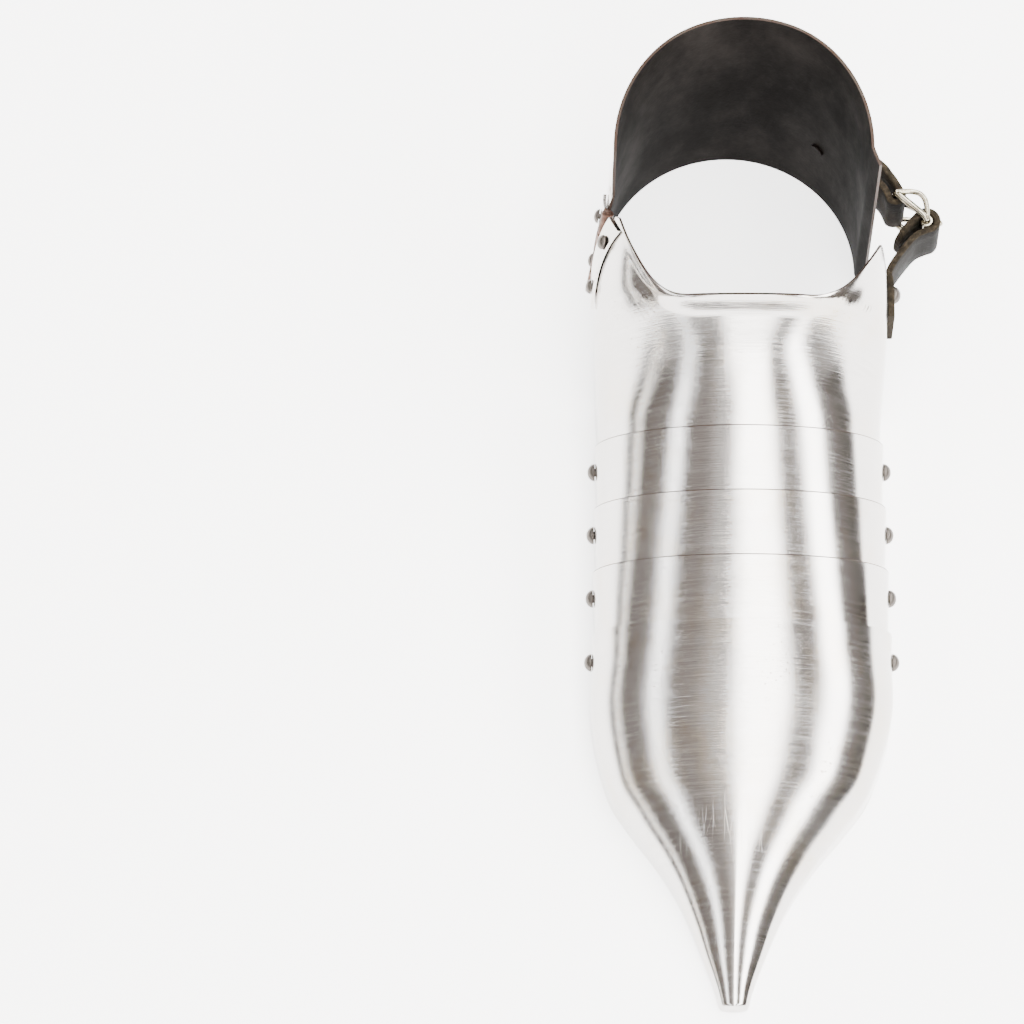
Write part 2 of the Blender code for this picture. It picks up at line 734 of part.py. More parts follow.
def strap(name, path, tip_steps=0):
    """A leather strap on edge along a plan path; tip_steps rows at its end narrow to a point."""
    count = len(path)
    verts = []
    for i, point in enumerate(path):
        ahead = (path[min(i + 1, count - 1)] - path[max(i - 1, 0)]).normalized()
        side = Vector((-ahead.y, ahead.x, 0.0)) * 0.5 * STRAP_THICKNESS
        left = count - 1 - i
        half = 0.5 * STRAP_WIDTH
        if left < tip_steps:
            half *= 0.25 + 0.75 * math.sqrt(1.0 - (1.0 - left / tip_steps) ** 2)
        for shift, height in ((side, -half), (side, half), (-side, half), (-side, -half)):
            verts.append(point + shift + Vector((0.0, 0.0, STRAP_Z + height)))
    faces = [[3, 2, 1, 0], [4 * (count - 1) + k for k in range(4)]]
    for i in range(count - 1):
        for k in range(4):
            after = (k + 1) % 4
            faces.append([4 * i + k, 4 * i + after, 4 * i + 4 + after, 4 * i + 4 + k])
    return add_object(name, verts, faces, leather(), smooth=False)


def wrap(centre, radius, first, second, start, end, steps):
    """Points round a bar, from one direction towards another."""
    made = []
    for i in range(steps + 1):
        turn = math.radians(start + (end - start) * i / steps)
        made.append(centre + (first * math.cos(turn) + second * math.sin(turn)) * radius)
    return made


def closure(instep, heel):
    """Two straps and a roller buckle on the outer side, fastened."""
    along, away = buckle_axes()
    bar = Vector((BAR_X, BAR_Y, 0.0))
    roller = bar + along * BUCKLE_REACH
    half = 0.5 * STRAP_THICKNESS
    wall = instep_wall_x(STRAP_RIVET_Y, STRAP_Z) + 2.0 * SEAT_GAP + half

    turn_r = ROLLER_R + SEAT_GAP + half
    front_path = [Vector((wall, STRAP_FRONT_Y, 0.0)), Vector((wall, STRAP_RIVET_Y, 0.0))]
    front_path += [Vector((wall, STRAP_LEAVES_Y, 0.0))]
    before, under = FRONT_STRAP_TURN
    front_path += [roller + along * (turn_r + BUCKLE_REACH * before) + away * BUCKLE_REACH * under]
    round_roller = wrap(roller, turn_r, along, away, -12.0, 180.0, 10)
    tail = [roller - along * turn_r - away * TAIL_LENGTH * share for share in (0.35, 0.7, 1.0)]
    bend = curve_through(front_path + [round_roller[0]]) + round_roller[1:]
    front = strap("strap_front", bend + curve_through([round_roller[-1]] + tail, 3)[1:], 4)

    centre, radius = heel_circle(STRAP_Z)
    circle_r = radius + SEAT_GAP + half
    middle = Vector((centre, HEEL_CENTRE_Y, 0.0))
    seat = [middle + Vector((math.cos(a), math.sin(a), 0.0)) * circle_r
            for a in [HEEL_RIVET_ANGLE + math.radians(d) for d in (16, 10, 4, -4, -7)]]
    bar_r = WIRE_R + SEAT_GAP + half
    bow = [bar + away * bar_r + Vector((*share, 0.0)) * BUCKLE_REACH for share in HEEL_STRAP_BOW]
    fold = wrap(bar, bar_r, away, along, 0.0, 180.0, 8)
    back = [bar - away * bar_r + Vector((*share, 0.0)) * BUCKLE_REACH for share in HEEL_STRAP_BACK]
    outer = curve_through([seat[-1]] + bow + [fold[0]])
    inner = curve_through([fold[-1]] + back)
    rear = strap("strap_heel", seat[:-1] + outer + fold[1:] + inner[1:])
    slot = Vector((0.0, 0.0, SLOT_HEIGHT))
    reach = WIRE_R + SEAT_GAP + STRAP_THICKNESS + 0.5 * DRILL_MARGIN
    corners = [bar + along * a * reach + away * b * reach + Vector((0.0, 0.0, STRAP_Z))
               for a, b in ((-1, -1), (1, -1), (1, 1), (-1, 1))]
    box = [c - slot for c in corners] + [c + slot for c in corners]
    sides = [[3, 2, 1, 0], [4, 5, 6, 7], [0, 1, 5, 4], [1, 2, 6, 5], [2, 3, 7, 6], [3, 0, 4, 7]]
    boolean(rear, as_cutter(add_object("cut_prong_slot", box, sides, leather(), smooth=False)), "DIFFERENCE")

    base = Vector((wall + half, STRAP_RIVET_Y, STRAP_Z))
    stack = STRAP_THICKNESS + 2.0 * SEAT_GAP + SHEET
    rivet("strap_rivet_front", base, (1, 0, 0), stack)
    hole = drill("cut_strap_front", base, (1, 0, 0), RIVET_SHANK_R + SEAT_GAP, stack + DRILL_MARGIN, DRILL_MARGIN)
    boolean(front, hole, "DIFFERENCE")
    boolean(instep, hole, "DIFFERENCE")
    facing = Vector((math.cos(HEEL_RIVET_ANGLE), math.sin(HEEL_RIVET_ANGLE), 0.0))
    base = middle + facing * (circle_r + half) + Vector((0.0, 0.0, STRAP_Z))
    stack = STRAP_THICKNESS + SEAT_GAP + SHEET
    rivet("strap_rivet_heel", base, facing, stack)
    hole = drill("cut_strap_heel", base, facing, RIVET_SHANK_R + SEAT_GAP, stack + DRILL_MARGIN, DRILL_MARGIN)
    boolean(rear, hole, "DIFFERENCE")
    boolean(heel, hole, "DIFFERENCE")

    buckle(bar, roller, along, away)


def buckle(bar, roller, along, away):
    """A wire frame with bowed sides, a roller on its outer bar and a prong on its inner bar."""
    low = Vector((0.0, 0.0, STRAP_Z - 0.5 * BUCKLE_HEIGHT))
    high = Vector((0.0, 0.0, STRAP_Z + 0.5 * BUCKLE_HEIGHT))
    corner = Vector((0.0, 0.0, WIRE_BEND))
    loop = [bar + low + corner, bar + high - corner, bar + high + along * WIRE_BEND, roller + high - along * WIRE_BEND]
    loop += [roller + high - corner, roller + low + corner, roller + low - along * WIRE_BEND, bar + low + along * WIRE_BEND]
    frame = tube("buckle_frame", loop, WIRE_R, away, buckle_metal(), closed=True)
    for label, level in (("high", high), ("low", low)):
        arc = []
        for i in range(9):
            share = i / 8
            out = BOW_DEPTH * math.sin(math.pi * share)
            arc.append(bar + level + along * BUCKLE_REACH * share + away * out)
        side = as_cutter(tube(f"form_bow_{label}", arc, BOW_R, (0, 0, 1), buckle_metal()))
        boolean(frame, side, "UNION")
    half = 0.5 * ROLLER_LENGTH
    base = roller + Vector((0.0, 0.0, STRAP_Z))
    profile = [(half, 0.0), (half, ROLLER_R), (-half, ROLLER_R), (-half, 0.0)]
    turned = lathe("buckle_roller", base, (0, 0, 1), profile, buckle_metal())
    boolean(turned, drill("cut_roller", base, (0, 0, 1), WIRE_R + SEAT_GAP, half + DRILL_MARGIN, half + DRILL_MARGIN),
            "DIFFERENCE")
    eye = WIRE_R + SEAT_GAP + PRONG_R
    clear = ROLLER_R + 2.0 * SEAT_GAP + STRAP_THICKNESS + PRONG_R
    path = wrap(bar, eye, -along, away, -120.0, 90.0, 9)
    path += [roller - along * BUCKLE_REACH * before + away * clear * height for before, height in PRONG_SHOULDERS]
    path += [roller + along * PRONG_TIP * 0.6 + away * clear, roller + along * PRONG_TIP + away * clear * 0.94]
    prong = [p + Vector((0.0, 0.0, STRAP_Z)) for p in path]
    tube("buckle_prong", prong, PRONG_R, (0, 0, 1), buckle_metal(), sides=8)


def centre_on_origin():
    """Move everything so that the origin is under the middle of the whole object's box."""
    bpy.context.view_layer.update()
    low, high = Vector((1.0, 1.0, 1.0)), Vector((-1.0, -1.0, -1.0))
    for part in bpy.data.objects:
        if part.hide_render:
            continue
        for corner in part.data.vertices:
            place = part.matrix_world @ corner.co
            for axis in range(3):
                low[axis] = min(low[axis], place[axis])
                high[axis] = max(high[axis], place[axis])
    shift = Vector((-(low.x + high.x) / 2, -(low.y + high.y) / 2, -low.z))
    for part in bpy.data.objects:
        part.location += shift
    print("shift", *(round(value / MM, 4) for value in shift))


def build():
    clear_scene()
    lames = [lame(k) for k in range(3)]
    toe = toe_plate()
    instep = instep_plate()
    heel = heel_plate()
    lame_rivets([instep] + lames + [toe])
    hinge(instep, heel)
    closure(instep, heel)
    centre_on_origin()


build()
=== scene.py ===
"""A steel sabaton for the left foot, dressed for its picture: polished plates on turning rivets,
a heel plate on a copper-brown hinge, and two black straps with a roller buckle.

Shapes are drawn in millimetres, X to the outer side, Y to the heel, Z up, and become metres in `placed`.
"""

import math

import bmesh
import bpy
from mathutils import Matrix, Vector


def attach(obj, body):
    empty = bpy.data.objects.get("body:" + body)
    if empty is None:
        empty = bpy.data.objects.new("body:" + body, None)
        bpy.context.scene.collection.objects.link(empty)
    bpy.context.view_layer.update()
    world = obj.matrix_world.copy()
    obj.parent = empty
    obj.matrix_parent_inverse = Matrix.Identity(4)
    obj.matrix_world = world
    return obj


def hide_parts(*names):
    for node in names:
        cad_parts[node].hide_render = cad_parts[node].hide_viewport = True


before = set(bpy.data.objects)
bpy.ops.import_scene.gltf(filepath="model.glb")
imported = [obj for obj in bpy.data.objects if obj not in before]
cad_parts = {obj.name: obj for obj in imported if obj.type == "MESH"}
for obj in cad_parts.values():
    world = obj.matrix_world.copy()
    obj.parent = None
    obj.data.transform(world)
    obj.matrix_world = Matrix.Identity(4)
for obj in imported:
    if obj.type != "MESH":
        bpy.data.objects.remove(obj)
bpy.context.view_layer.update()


# The room: a white lit sweep under a dull brown-grey ceiling, with long soft lamps overhead that run the
# way the foot points, and panels in front. The steel is a mirror for them: they lay its lengthwise streaks.
LAMP_DISTANCE, LAMP_MIDDLE_Y, PANEL_HEIGHT, PANEL_FOOT, FLOOR_REACH = 2.5, -1.6, 1.1, 0.05, 9.0
OVERHEAD_LAMPS = (
    # name, tilt from upright in degrees, width in metres, length, brightness, colour
    ("lamp_overhead", 10.0, 1.0, 11.0, 14.0, (1.0, 0.985, 0.965)),
    ("lamp_overhead_dim", -7.0, 0.8, 11.0, 0.75, (1.0, 0.985, 0.965)),
    ("lamp_outer", 49.0, 0.70, 9.0, 15.0, (1.0, 0.99, 0.98)),
    ("lamp_inner", -42.0, 0.32, 10.0, 9.0, (0.96, 0.98, 1.0)),
    ("lamp_inner_low", -77.0, 0.15, 8.0, 8.0, (1.0, 0.97, 0.92)),
)
FRONT_PANELS = (
    # name, middle across in metres, width, distance, brightness, colour
    ("panel_middle", 0.22, 0.50, 3.5, 10.0, (1.0, 0.985, 0.965)),
    ("panel_outer", 1.08, 0.30, 3.5, 10.0, (1.0, 0.99, 0.98)),
    ("panel_inner", -0.89, 0.15, 3.5, 6.0, (0.96, 0.98, 1.0)),
    ("panel_wide", 0.5, 6.0, 3.7, 0.7, (1.0, 0.97, 0.95)),
)


def linked(name, data):
    """A new object in the scene."""
    made = bpy.data.objects.new(name, data)
    bpy.context.collection.objects.link(made)
    return made


def hang_lamp(name, width, length, brightness, colour, place, turn):
    light = bpy.data.lights.new(name, "AREA")
    light.shape = "RECTANGLE"
    light.size, light.size_y = width, length
    light.energy = brightness * math.pi * width * length
    light.color = colour
    lamp = linked(name, light)
    lamp.location, lamp.rotation_euler = place, turn
    lamp.visible_camera = False


for name, tilt, width, length, brightness, colour in OVERHEAD_LAMPS:
    tilt = math.radians(tilt)
    place = LAMP_DISTANCE * math.sin(tilt), LAMP_MIDDLE_Y, LAMP_DISTANCE * math.cos(tilt)
    hang_lamp(name, width, length, brightness, colour, place, (0.0, tilt, 0.0))
for name, across, width, distance, brightness, colour in FRONT_PANELS:
    place = across, -distance, 0.5 * PANEL_HEIGHT + PANEL_FOOT
    hang_lamp(name, width, PANEL_HEIGHT, brightness, colour, place, (math.radians(90.0), 0.0, 0.0))


def fed(tree, node, inputs):
    """The node, with its inputs set to numbers or linked from other nodes."""
    for key, value in inputs.items():
        if isinstance(value, bpy.types.NodeSocket):
            tree.links.new(value, node.inputs[key])
        else:
            node.inputs[key].default_value = value
    return node


def put(tree, kind, inputs=None, **settings):
    """A new node with its settings and inputs."""
    made = tree.nodes.new(kind)
    for name, value in settings.items():
        setattr(made, name, value)
    return fed(tree, made, inputs or {})


def graded(tree, factor, *stops):
    """A colour ramp on a factor; each stop is a position and a grey value or a colour."""
    ramp = put(tree, "ShaderNodeValToRGB", {0: factor})
    steps = ramp.color_ramp.elements
    while len(steps) < len(stops):
        steps.new(0.5)
    for step, (position, value) in zip(steps, stops):
        step.position = position
        step.color = (*value, 1.0) if isinstance(value, tuple) else (value, value, value, 1.0)
    return ramp.outputs[0]


def paint_room():
    room = bpy.data.worlds.new("studio_room")
    bpy.context.scene.world = room
    room.use_nodes = True
    tree = room.node_tree
    way = put(tree, "ShaderNodeSeparateXYZ", {0: put(tree, "ShaderNodeTexCoord").outputs["Generated"]})
    tint = graded(tree, way.outputs["Z"], (0.02, (0.10, 0.085, 0.075)), (0.62, (0.50, 0.445, 0.415)))
    fed(tree, tree.nodes["Background"], {0: tint})


def new_finish(name):
    finish = bpy.data.materials.new(name)
    finish.use_nodes = True
    return finish, finish.node_tree


def lay_floor():
    corners = ((-1, -1), (1, -1), (1, 1), (-1, 1))
    mesh = bpy.data.meshes.new("floor")
    mesh.from_pydata([(x * FLOOR_REACH, y * FLOOR_REACH, 0) for x, y in corners], [], [(0, 1, 2, 3)])
    paint, tree = new_finish("floor_white")
    fed(tree, tree.nodes["Principled BSDF"], {
        "Base Color": (0.93, 0.925, 0.92, 1), "Roughness": 0.85, "Specular IOR Level": 0.1,
        "Emission Color": (1.0, 0.995, 0.99, 1), "Emission Strength": 3.0})
    mesh.materials.append(paint)
    linked("floor", mesh)


paint_room()
lay_floor()


# Formed plates: mild steel sheet, 1.2 mm thick, ground crossways and then polished, with its inner face left
# black and its cut edges gone brown, their brown darkened into painted shade where the plates lap and part.
# Toe, lames and instep are arches over upright side walls.
SHEET, SIDE_GAP, TOP_GAP, EDGE_SOFTNESS = 1.2, 0.35, 1.3, 0.48
CROWN_STEPS, WALL_STEPS = 72, 7
DRAWING_ZERO = Vector((-9.9978, 26.5134, 0.0))


def placed(point):
    """A point of the drawing, in millimetres, at its place in the frame, in metres."""
    return (Vector(point) + DRAWING_ZERO) * 0.001


def mixed(tree, factor, first, second):
    """Colour between first and second."""
    first, second = ((*c, 1.0) if isinstance(c, tuple) else c for c in (first, second))
    return put(tree, "ShaderNodeMix", {0: factor, 6: first, 7: second}, data_type="RGBA").outputs[2]


def stretched(tree, scale, turn=(0.0, 0.0, 0.0), shift=0.0):
    """Object coordinates, stretched, turned and shifted, so that a pattern keeps its place on the piece."""
    return put(tree, "ShaderNodeMapping", {
        "Vector": put(tree, "ShaderNodeTexCoord").outputs["Object"], "Rotation": turn,
        "Scale": scale if isinstance(scale, tuple) else (scale, scale, scale),
        "Location": (shift, 0.6 * shift, -0.8 * shift)}).outputs[0]


def cloudy(tree, scale, detail=2.0, roughness=0.5, turn=(0.0, 0.0, 0.0), shift=0.0):
    return put(tree, "ShaderNodeTexNoise", {
        "Vector": stretched(tree, scale, turn, shift), "Scale": 1.0, "Detail": detail,
        "Roughness": roughness}).outputs[0]


def worked(tree, operation, first, second):
    return put(tree, "ShaderNodeMath", {0: first, 1: second}, operation=operation).outputs[0]


def ranged(tree, value, at_low, at_high, low=0.3, high=0.7):
    """The value's range from low to high, carried over to another range."""
    return put(tree, "ShaderNodeMapRange", {
        "Value": value, "From Min": low, "From Max": high, "To Min": at_low, "To Max": at_high}).outputs[0]


def raised(tree, height, strength, distance, under=None, invert=False):
    """Bump on top of another bump, or on the bare surface."""
    inputs = {"Height": height, "Strength": strength, "Distance": distance}
    if under is not None:
        inputs["Normal"] = under
    return put(tree, "ShaderNodeBump", inputs, invert=invert).outputs[0]


def finished(finish, colour, rough, bump, metallic=0.0, specular=0.5):
    """The material, with all of its look in the shader."""
    tree = finish.node_tree
    fed(tree, tree.nodes["Principled BSDF"], {
        "Base Color": colour, "Roughness": rough, "Normal": bump, "Metallic": metallic,
        "Specular IOR Level": specular})
    return finish


def scratches(tree):
    """Two sets of fine crossing lines, each only in some places."""
    found = 0.0
    for turn, scale in (((0.0, 0.0, 0.35), (700.0, 75.0, 140.0)), ((0.2, 0.1, -0.3), (60.0, 640.0, 120.0))):
        lines = put(tree, "ShaderNodeTexVoronoi", {"Vector": stretched(tree, scale, turn), "Scale": 0.45},
                    feature="DISTANCE_TO_EDGE")
        thin = graded(tree, lines.outputs["Distance"], (0.0, 1.0), (0.009, 0.0))
        some = graded(tree, cloudy(tree, 24.0, turn=turn), (0.64, 0.0), (0.84, 1.0))
        found = worked(tree, "ADD", worked(tree, "MULTIPLY", thin, some), found)
    return found


def polished_steel(plate, shift):
    """Ground and polished mild steel with grinding lines, scratches, pits and faint yellow stains."""
    finish, tree = new_finish("steel_" + plate)
    grinding = cloudy(tree, (45.0, 2600.0, 45.0), 3.0, 0.65)
    patches = cloudy(tree, (22.0, 16.0, 22.0), 4.0, 0.6, shift=shift)
    stains = cloudy(tree, (38.0, 26.0, 38.0), 5.0, 0.7, (0.3, 0.0, 0.6), shift)
    hammered = cloudy(tree, (34.0, 22.0, 34.0), 1.0, shift=shift)
    pits = put(tree, "ShaderNodeTexVoronoi", {"Vector": stretched(tree, 520.0), "Scale": 1.0})
    pitted = worked(tree, "MULTIPLY", graded(tree, pits.outputs["Distance"], (0.10, 1.0), (0.20, 0.0)),
                    graded(tree, cloudy(tree, 30.0, 3.0), (0.52, 0.0), (0.66, 1.0)))
    scratched = scratches(tree)
    colour = graded(tree, grinding, (0.35, (0.545, 0.525, 0.505)), (0.65, (0.65, 0.63, 0.61)))
    colour = mixed(tree, graded(tree, stains, (0.50, 0.0), (0.78, 0.55)), colour, (0.56, 0.47, 0.33))
    colour = mixed(tree, pitted, colour, (0.20, 0.16, 0.13))
    colour = mixed(tree, worked(tree, "MULTIPLY", scratched, 0.18), colour, (0.82, 0.81, 0.80))
    rough = worked(tree, "ADD", worked(tree, "MULTIPLY", grinding, 0.22), ranged(tree, patches, 0.06, 0.14))
    rough = worked(tree, "ADD", rough, -0.07)
    dents = raised(tree, hammered, 0.22, 0.0012)
    lines = raised(tree, grinding, 0.45, 0.0001, dents)
    marks = raised(tree, worked(tree, "ADD", scratched, pitted), 0.2, 0.0001, lines, invert=True)
    return finished(finish, colour, rough, marks, metallic=1.0)


def black_inside():
    """The scale and old black paint inside the plates, dull, rubbed paler in places."""
    finish, tree = new_finish("plate_inside_black")
    rubbing = cloudy(tree, (30.0, 30.0, 18.0), 6.0, 0.65)
    colour = graded(tree, rubbing, (0.42, (0.0036, 0.0028, 0.0024)), (0.75, (0.0130, 0.0102, 0.0088)))
    grain = raised(tree, cloudy(tree, 700.0), 0.35, 0.0002)
    return finished(finish, colour, ranged(tree, rubbing, 0.75, 0.55, high=0.75), grain, specular=0.02)


def browned_and_shaded_edge():
    """Cut edge of the sheet, filed and gone copper-brown, and dark enough to be painted shade in the gaps
    between plates.
    """
    finish, tree = new_finish("plate_edge_brown_and_shade")
    rust = cloudy(tree, 160.0, 5.0, 0.7)
    # Kept very dark: real copper-brown, darkened further as painted shade for the gaps between plates.
    colour = graded(tree, rust, (0.38, (0.045, 0.034, 0.028)), (0.66, (0.036, 0.019, 0.013)))
    return finished(finish, colour, 0.5, raised(tree, rust, 0.4, 0.0002), metallic=0.5, specular=0.15)


inside_black, edge_brown_and_shade = black_inside(), browned_and_shaded_edge()


def made_plain(work, name):
    """The evaluated shape of a working object, as a plain mesh object that stands at the origin."""
    graph = bpy.context.evaluated_depsgraph_get()
    mesh = bpy.data.meshes.new_from_object(work.evaluated_get(graph), preserve_all_data_layers=True,
                                           depsgraph=graph)
    bpy.data.objects.remove(work, do_unlink=True)
    return linked(name, mesh)


def joined_up(rows, closed=False):
    """Vertices and faces of a grid of points."""
    width = len(rows[0])
    faces = []
    for i in range(len(rows) - 1):
        for j in range(width if closed else width - 1):
            after = (j + 1) % width
            faces.append((i * width + j, i * width + after, (i + 1) * width + after, (i + 1) * width + j))
    return [point for row in rows for point in row], faces


def formed_plate(name, rows, node, body, shift, flipped=True):
    """A plate from a grid on its outer face: given its thickness, softened edges and three finishes.

    The faces of the grid look inwards and are flipped, unless its rows run the other way.
    """
    verts, faces = joined_up(rows)
    mesh = bpy.data.meshes.new(name)
    mesh.from_pydata([placed(v) for v in verts], [], faces)
    if flipped:
        mesh.flip_normals()
    mesh.shade_smooth()
    for finish in (polished_steel(node, shift), inside_black, edge_brown_and_shade):
        mesh.materials.append(finish)
    work = linked(name + "_work", mesh)
    wall = work.modifiers.new("sheet", "SOLIDIFY")
    wall.thickness, wall.offset = SHEET * 0.001, -1.0
    wall.material_offset, wall.material_offset_rim = 1, 2
    soften = work.modifiers.new("filed_edges", "BEVEL")
    # The bevels take the edge finish: brown filed edges, with painted shade in a thin dark line along each
    # lap.
    soften.width, soften.segments, soften.material = EDGE_SOFTNESS * 0.001, 2, 2
    soften.limit_method, soften.angle_limit = "ANGLE", math.radians(50.0)
    even = work.modifiers.new("flat_faces", "WEIGHTED_NORMAL")
    even.keep_sharp = True
    piece = made_plain(work, name)
    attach(piece, body)
    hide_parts(node)


# Places of the four pivots and of the heel edges, counted from lame 1 towards the toe plate, which is 3.
RIVET_Y, RIVET_PITCH, RIVET_Z = 11.0, 27.0, 14.5
LAME_HALF_WIDTH, LAME_WIDENING, LAME_TOP_Z, LAME_DROP = 57.3, 0.5, 65.0, 3.7
FIRST_EDGE_Y, EDGE_STEP, EAR_REACH, HIDDEN_LAP, EAR_RADIUS, SIDE_WALL = 10.9, 25.7, 13.0, 12.0, 8.0, 17.0


def pivot_y(k):
    return RIVET_Y - k * RIVET_PITCH


def edge_y(k):
    return FIRST_EDGE_Y - k * EDGE_STEP


def pivot_width(k):
    return LAME_HALF_WIDTH + k * LAME_WIDENING


def under_width(k):
    return pivot_width(k) - SHEET - SIDE_GAP


def edge_z(k):
    return LAME_TOP_Z - k * LAME_DROP


def arch_columns():
    """Column parameters across a plate: below 0 and above 1 they run down the upright side walls."""
    crown = [i / CROWN_STEPS for i in range(CROWN_STEPS + 1)]
    wall = [i / WALL_STEPS for i in range(1, WALL_STEPS + 1)]
    return [-w for w in reversed(wall)] + crown + [1.0 + w for w in wall]


def arch(half_width, top, side_wall, bluntness, column):
    """A point of the section: upright walls, then a rounded crown. Column 0 is the inner side."""
    angle = math.pi * min(max(column, 0.0), 1.0)
    across = math.cos(angle)
    power = 2.0 / bluntness
    x = -half_width * math.copysign(abs(across) ** power, across)
    z = side_wall + (top - side_wall) * math.sin(angle) ** power
    return x, z * (1.0 - max(-column, column - 1.0, 0.0))


def ear_edge(z, sole_y, top_y, top_z):
    """Heel edge of a plate seen from the side: it leans to the toe, with a rounded ear at the sole."""
    lean = sole_y + (top_y - sole_y) * min(z / top_z, 1.0)
    if z < EAR_RADIUS:
        lean -= EAR_RADIUS - math.sqrt(EAR_RADIUS ** 2 - (EAR_RADIUS - z) ** 2)
    return lean


def eased(t):
    t = min(max(t, 0.0), 1.0)
    return t * t * (3.0 - 2.0 * t)


# Toe plate: one sheet raised from the inside, full over the ball of the foot and drawn out to a narrow
# blunt tip that leans inwards. Its heel edge lies over lame 3 and turns on the foremost rivets.
TOE_LENGTH, BALL_HALF_WIDTH, TOE_TOP_Z, TIP_OFFSET, TOE_END = 150.6, 59.5, 53.9, 4.4, 1.8
TOE_ROWS, TOE_ROUNDS = 84, 12
TOE_SECTIONS = (
    # along, width, height, bluntness
    (-0.09, 1.002, 1.06, 2.0), (0.00, 0.998, 1.03, 2.0), (0.09, 0.991, 0.99, 2.0), (0.21, 0.999, 0.93, 2.0),
    (0.29, 0.972, 0.86, 2.0), (0.38, 0.912, 0.77, 1.95), (0.46, 0.835, 0.69, 1.9), (0.54, 0.695, 0.59, 1.8),
    (0.63, 0.52, 0.48, 1.7), (0.71, 0.39, 0.385, 1.65), (0.79, 0.29, 0.30, 1.6), (0.87, 0.208, 0.215, 1.6),
    (0.95, 0.132, 0.15, 1.7), (1.00, 0.098, 0.12, 1.8), (1.05, 0.08, 0.10, 1.8),
)


def toe_section(y):
    """Half width, height and bluntness of the toe plate at y, on a smooth curve through the table."""
    at = (pivot_y(3) + EAR_REACH - y) / TOE_LENGTH
    last = len(TOE_SECTIONS) - 2
    k = next((i for i in range(last + 1) if at <= TOE_SECTIONS[i + 1][0]), last)
    before, start, end, after = (TOE_SECTIONS[min(max(i, 0), last + 1)] for i in (k - 1, k, k + 1, k + 2))
    t = (at - start[0]) / (end[0] - start[0])
    values = []
    for c in (1, 2, 3):
        slope_in = (end[c] - before[c]) / (end[0] - before[0]) * (end[0] - start[0])
        slope_out = (after[c] - start[c]) / (after[0] - start[0]) * (end[0] - start[0])
        values.append((2 * t ** 3 - 3 * t ** 2 + 1) * start[c] + (t ** 3 - 2 * t ** 2 + t) * slope_in
                      + (3 * t ** 2 - 2 * t ** 3) * end[c] + (t ** 3 - t ** 2) * slope_out)
    return values[0] * BALL_HALF_WIDTH, values[1] * TOE_TOP_Z, values[2]


def toe_rows():
    """The grid of the toe plate. Its edge depends on the height there, so each point settles in rounds."""
    tip_y = pivot_y(3) + EAR_REACH - TOE_LENGTH
    rows = []
    for i in range(TOE_ROWS + 1):
        row = []
        for column in arch_columns():
            y = edge_y(3)
            for _ in range(TOE_ROUNDS):
                width, top, bluntness = toe_section(y)
                x, z = arch(width, top, SIDE_WALL * min(top / TOE_TOP_Z, 1.0), bluntness, column)
                heel = ear_edge(z, pivot_y(3) + EAR_REACH, edge_y(3), toe_section(edge_y(3))[1])
                y = heel + (tip_y - heel) * i / TOE_ROWS
            row.append(Vector((x - TIP_OFFSET * eased((edge_y(3) - y) / (edge_y(3) - tip_y)), y, z)))
        rows.append(row)
    for scale, forward in ((0.93, 0.35), (0.8, 0.7), (0.45, 1.0), (0.1, 1.05)):
        end_y = tip_y - TOE_END * forward
        rows.append([Vector(((p.x + TIP_OFFSET) * scale - TIP_OFFSET, end_y, p.z * scale))
                     for p in rows[TOE_ROWS]])
    return rows


formed_plate("toe_plate_steel", toe_rows(), "toe_plate", "toe_body", 0.0)


# The three lames: bands of the same arch, each a little wider and lower than the one behind it. Their
# heel edge laps the plate behind, and their front edge is hidden under the next one. One rule draws all.
LAME_ROWS, LAME_COLUMNS, LAME_ROUNDS = 14, 97, 5


class Sum:
    """Arithmetic on node sockets, so that the rules for lames and rivets read as formulas."""

    def __init__(self, tree, socket):
        self.tree, self.socket = tree, socket

    def step(self, operation, *others):
        made = self.tree.nodes.new("ShaderNodeMath")
        made.operation = operation
        for slot, value in zip(made.inputs, (self, *others)):
            if isinstance(value, Sum):
                self.tree.links.new(value.socket, slot)
            else:
                slot.default_value = value
        return Sum(self.tree, made.outputs[0])

    def __add__(self, other):
        return self.step("ADD", other)

    def __sub__(self, other):
        return self.step("SUBTRACT", other)

    def __mul__(self, other):
        return self.step("MULTIPLY", other)

    def __truediv__(self, other):
        return self.step("DIVIDE", other)


def new_rule(name, inputs):
    """An empty Geometry Nodes tree with named inputs, and its input and output nodes."""
    tree = bpy.data.node_groups.new(name, "GeometryNodeTree")
    tree.interface.new_socket("Geometry", in_out="INPUT", socket_type="NodeSocketGeometry")
    for label, kind in inputs:
        tree.interface.new_socket(label, in_out="INPUT", socket_type=kind)
    tree.interface.new_socket("Geometry", in_out="OUTPUT", socket_type="NodeSocketGeometry")
    return tree, tree.nodes.new("NodeGroupInput"), tree.nodes.new("NodeGroupOutput")


def follow_rule(work, tree, values):
    """The tree as a modifier on a working object, with each named input set."""
    rule = work.modifiers.new(tree.name, "NODES")
    rule.node_group = tree
    for item in tree.interface.items_tree:
        if item.item_type == "SOCKET" and item.in_out == "INPUT" and item.name in values:
            rule[item.identifier] = values[item.name]


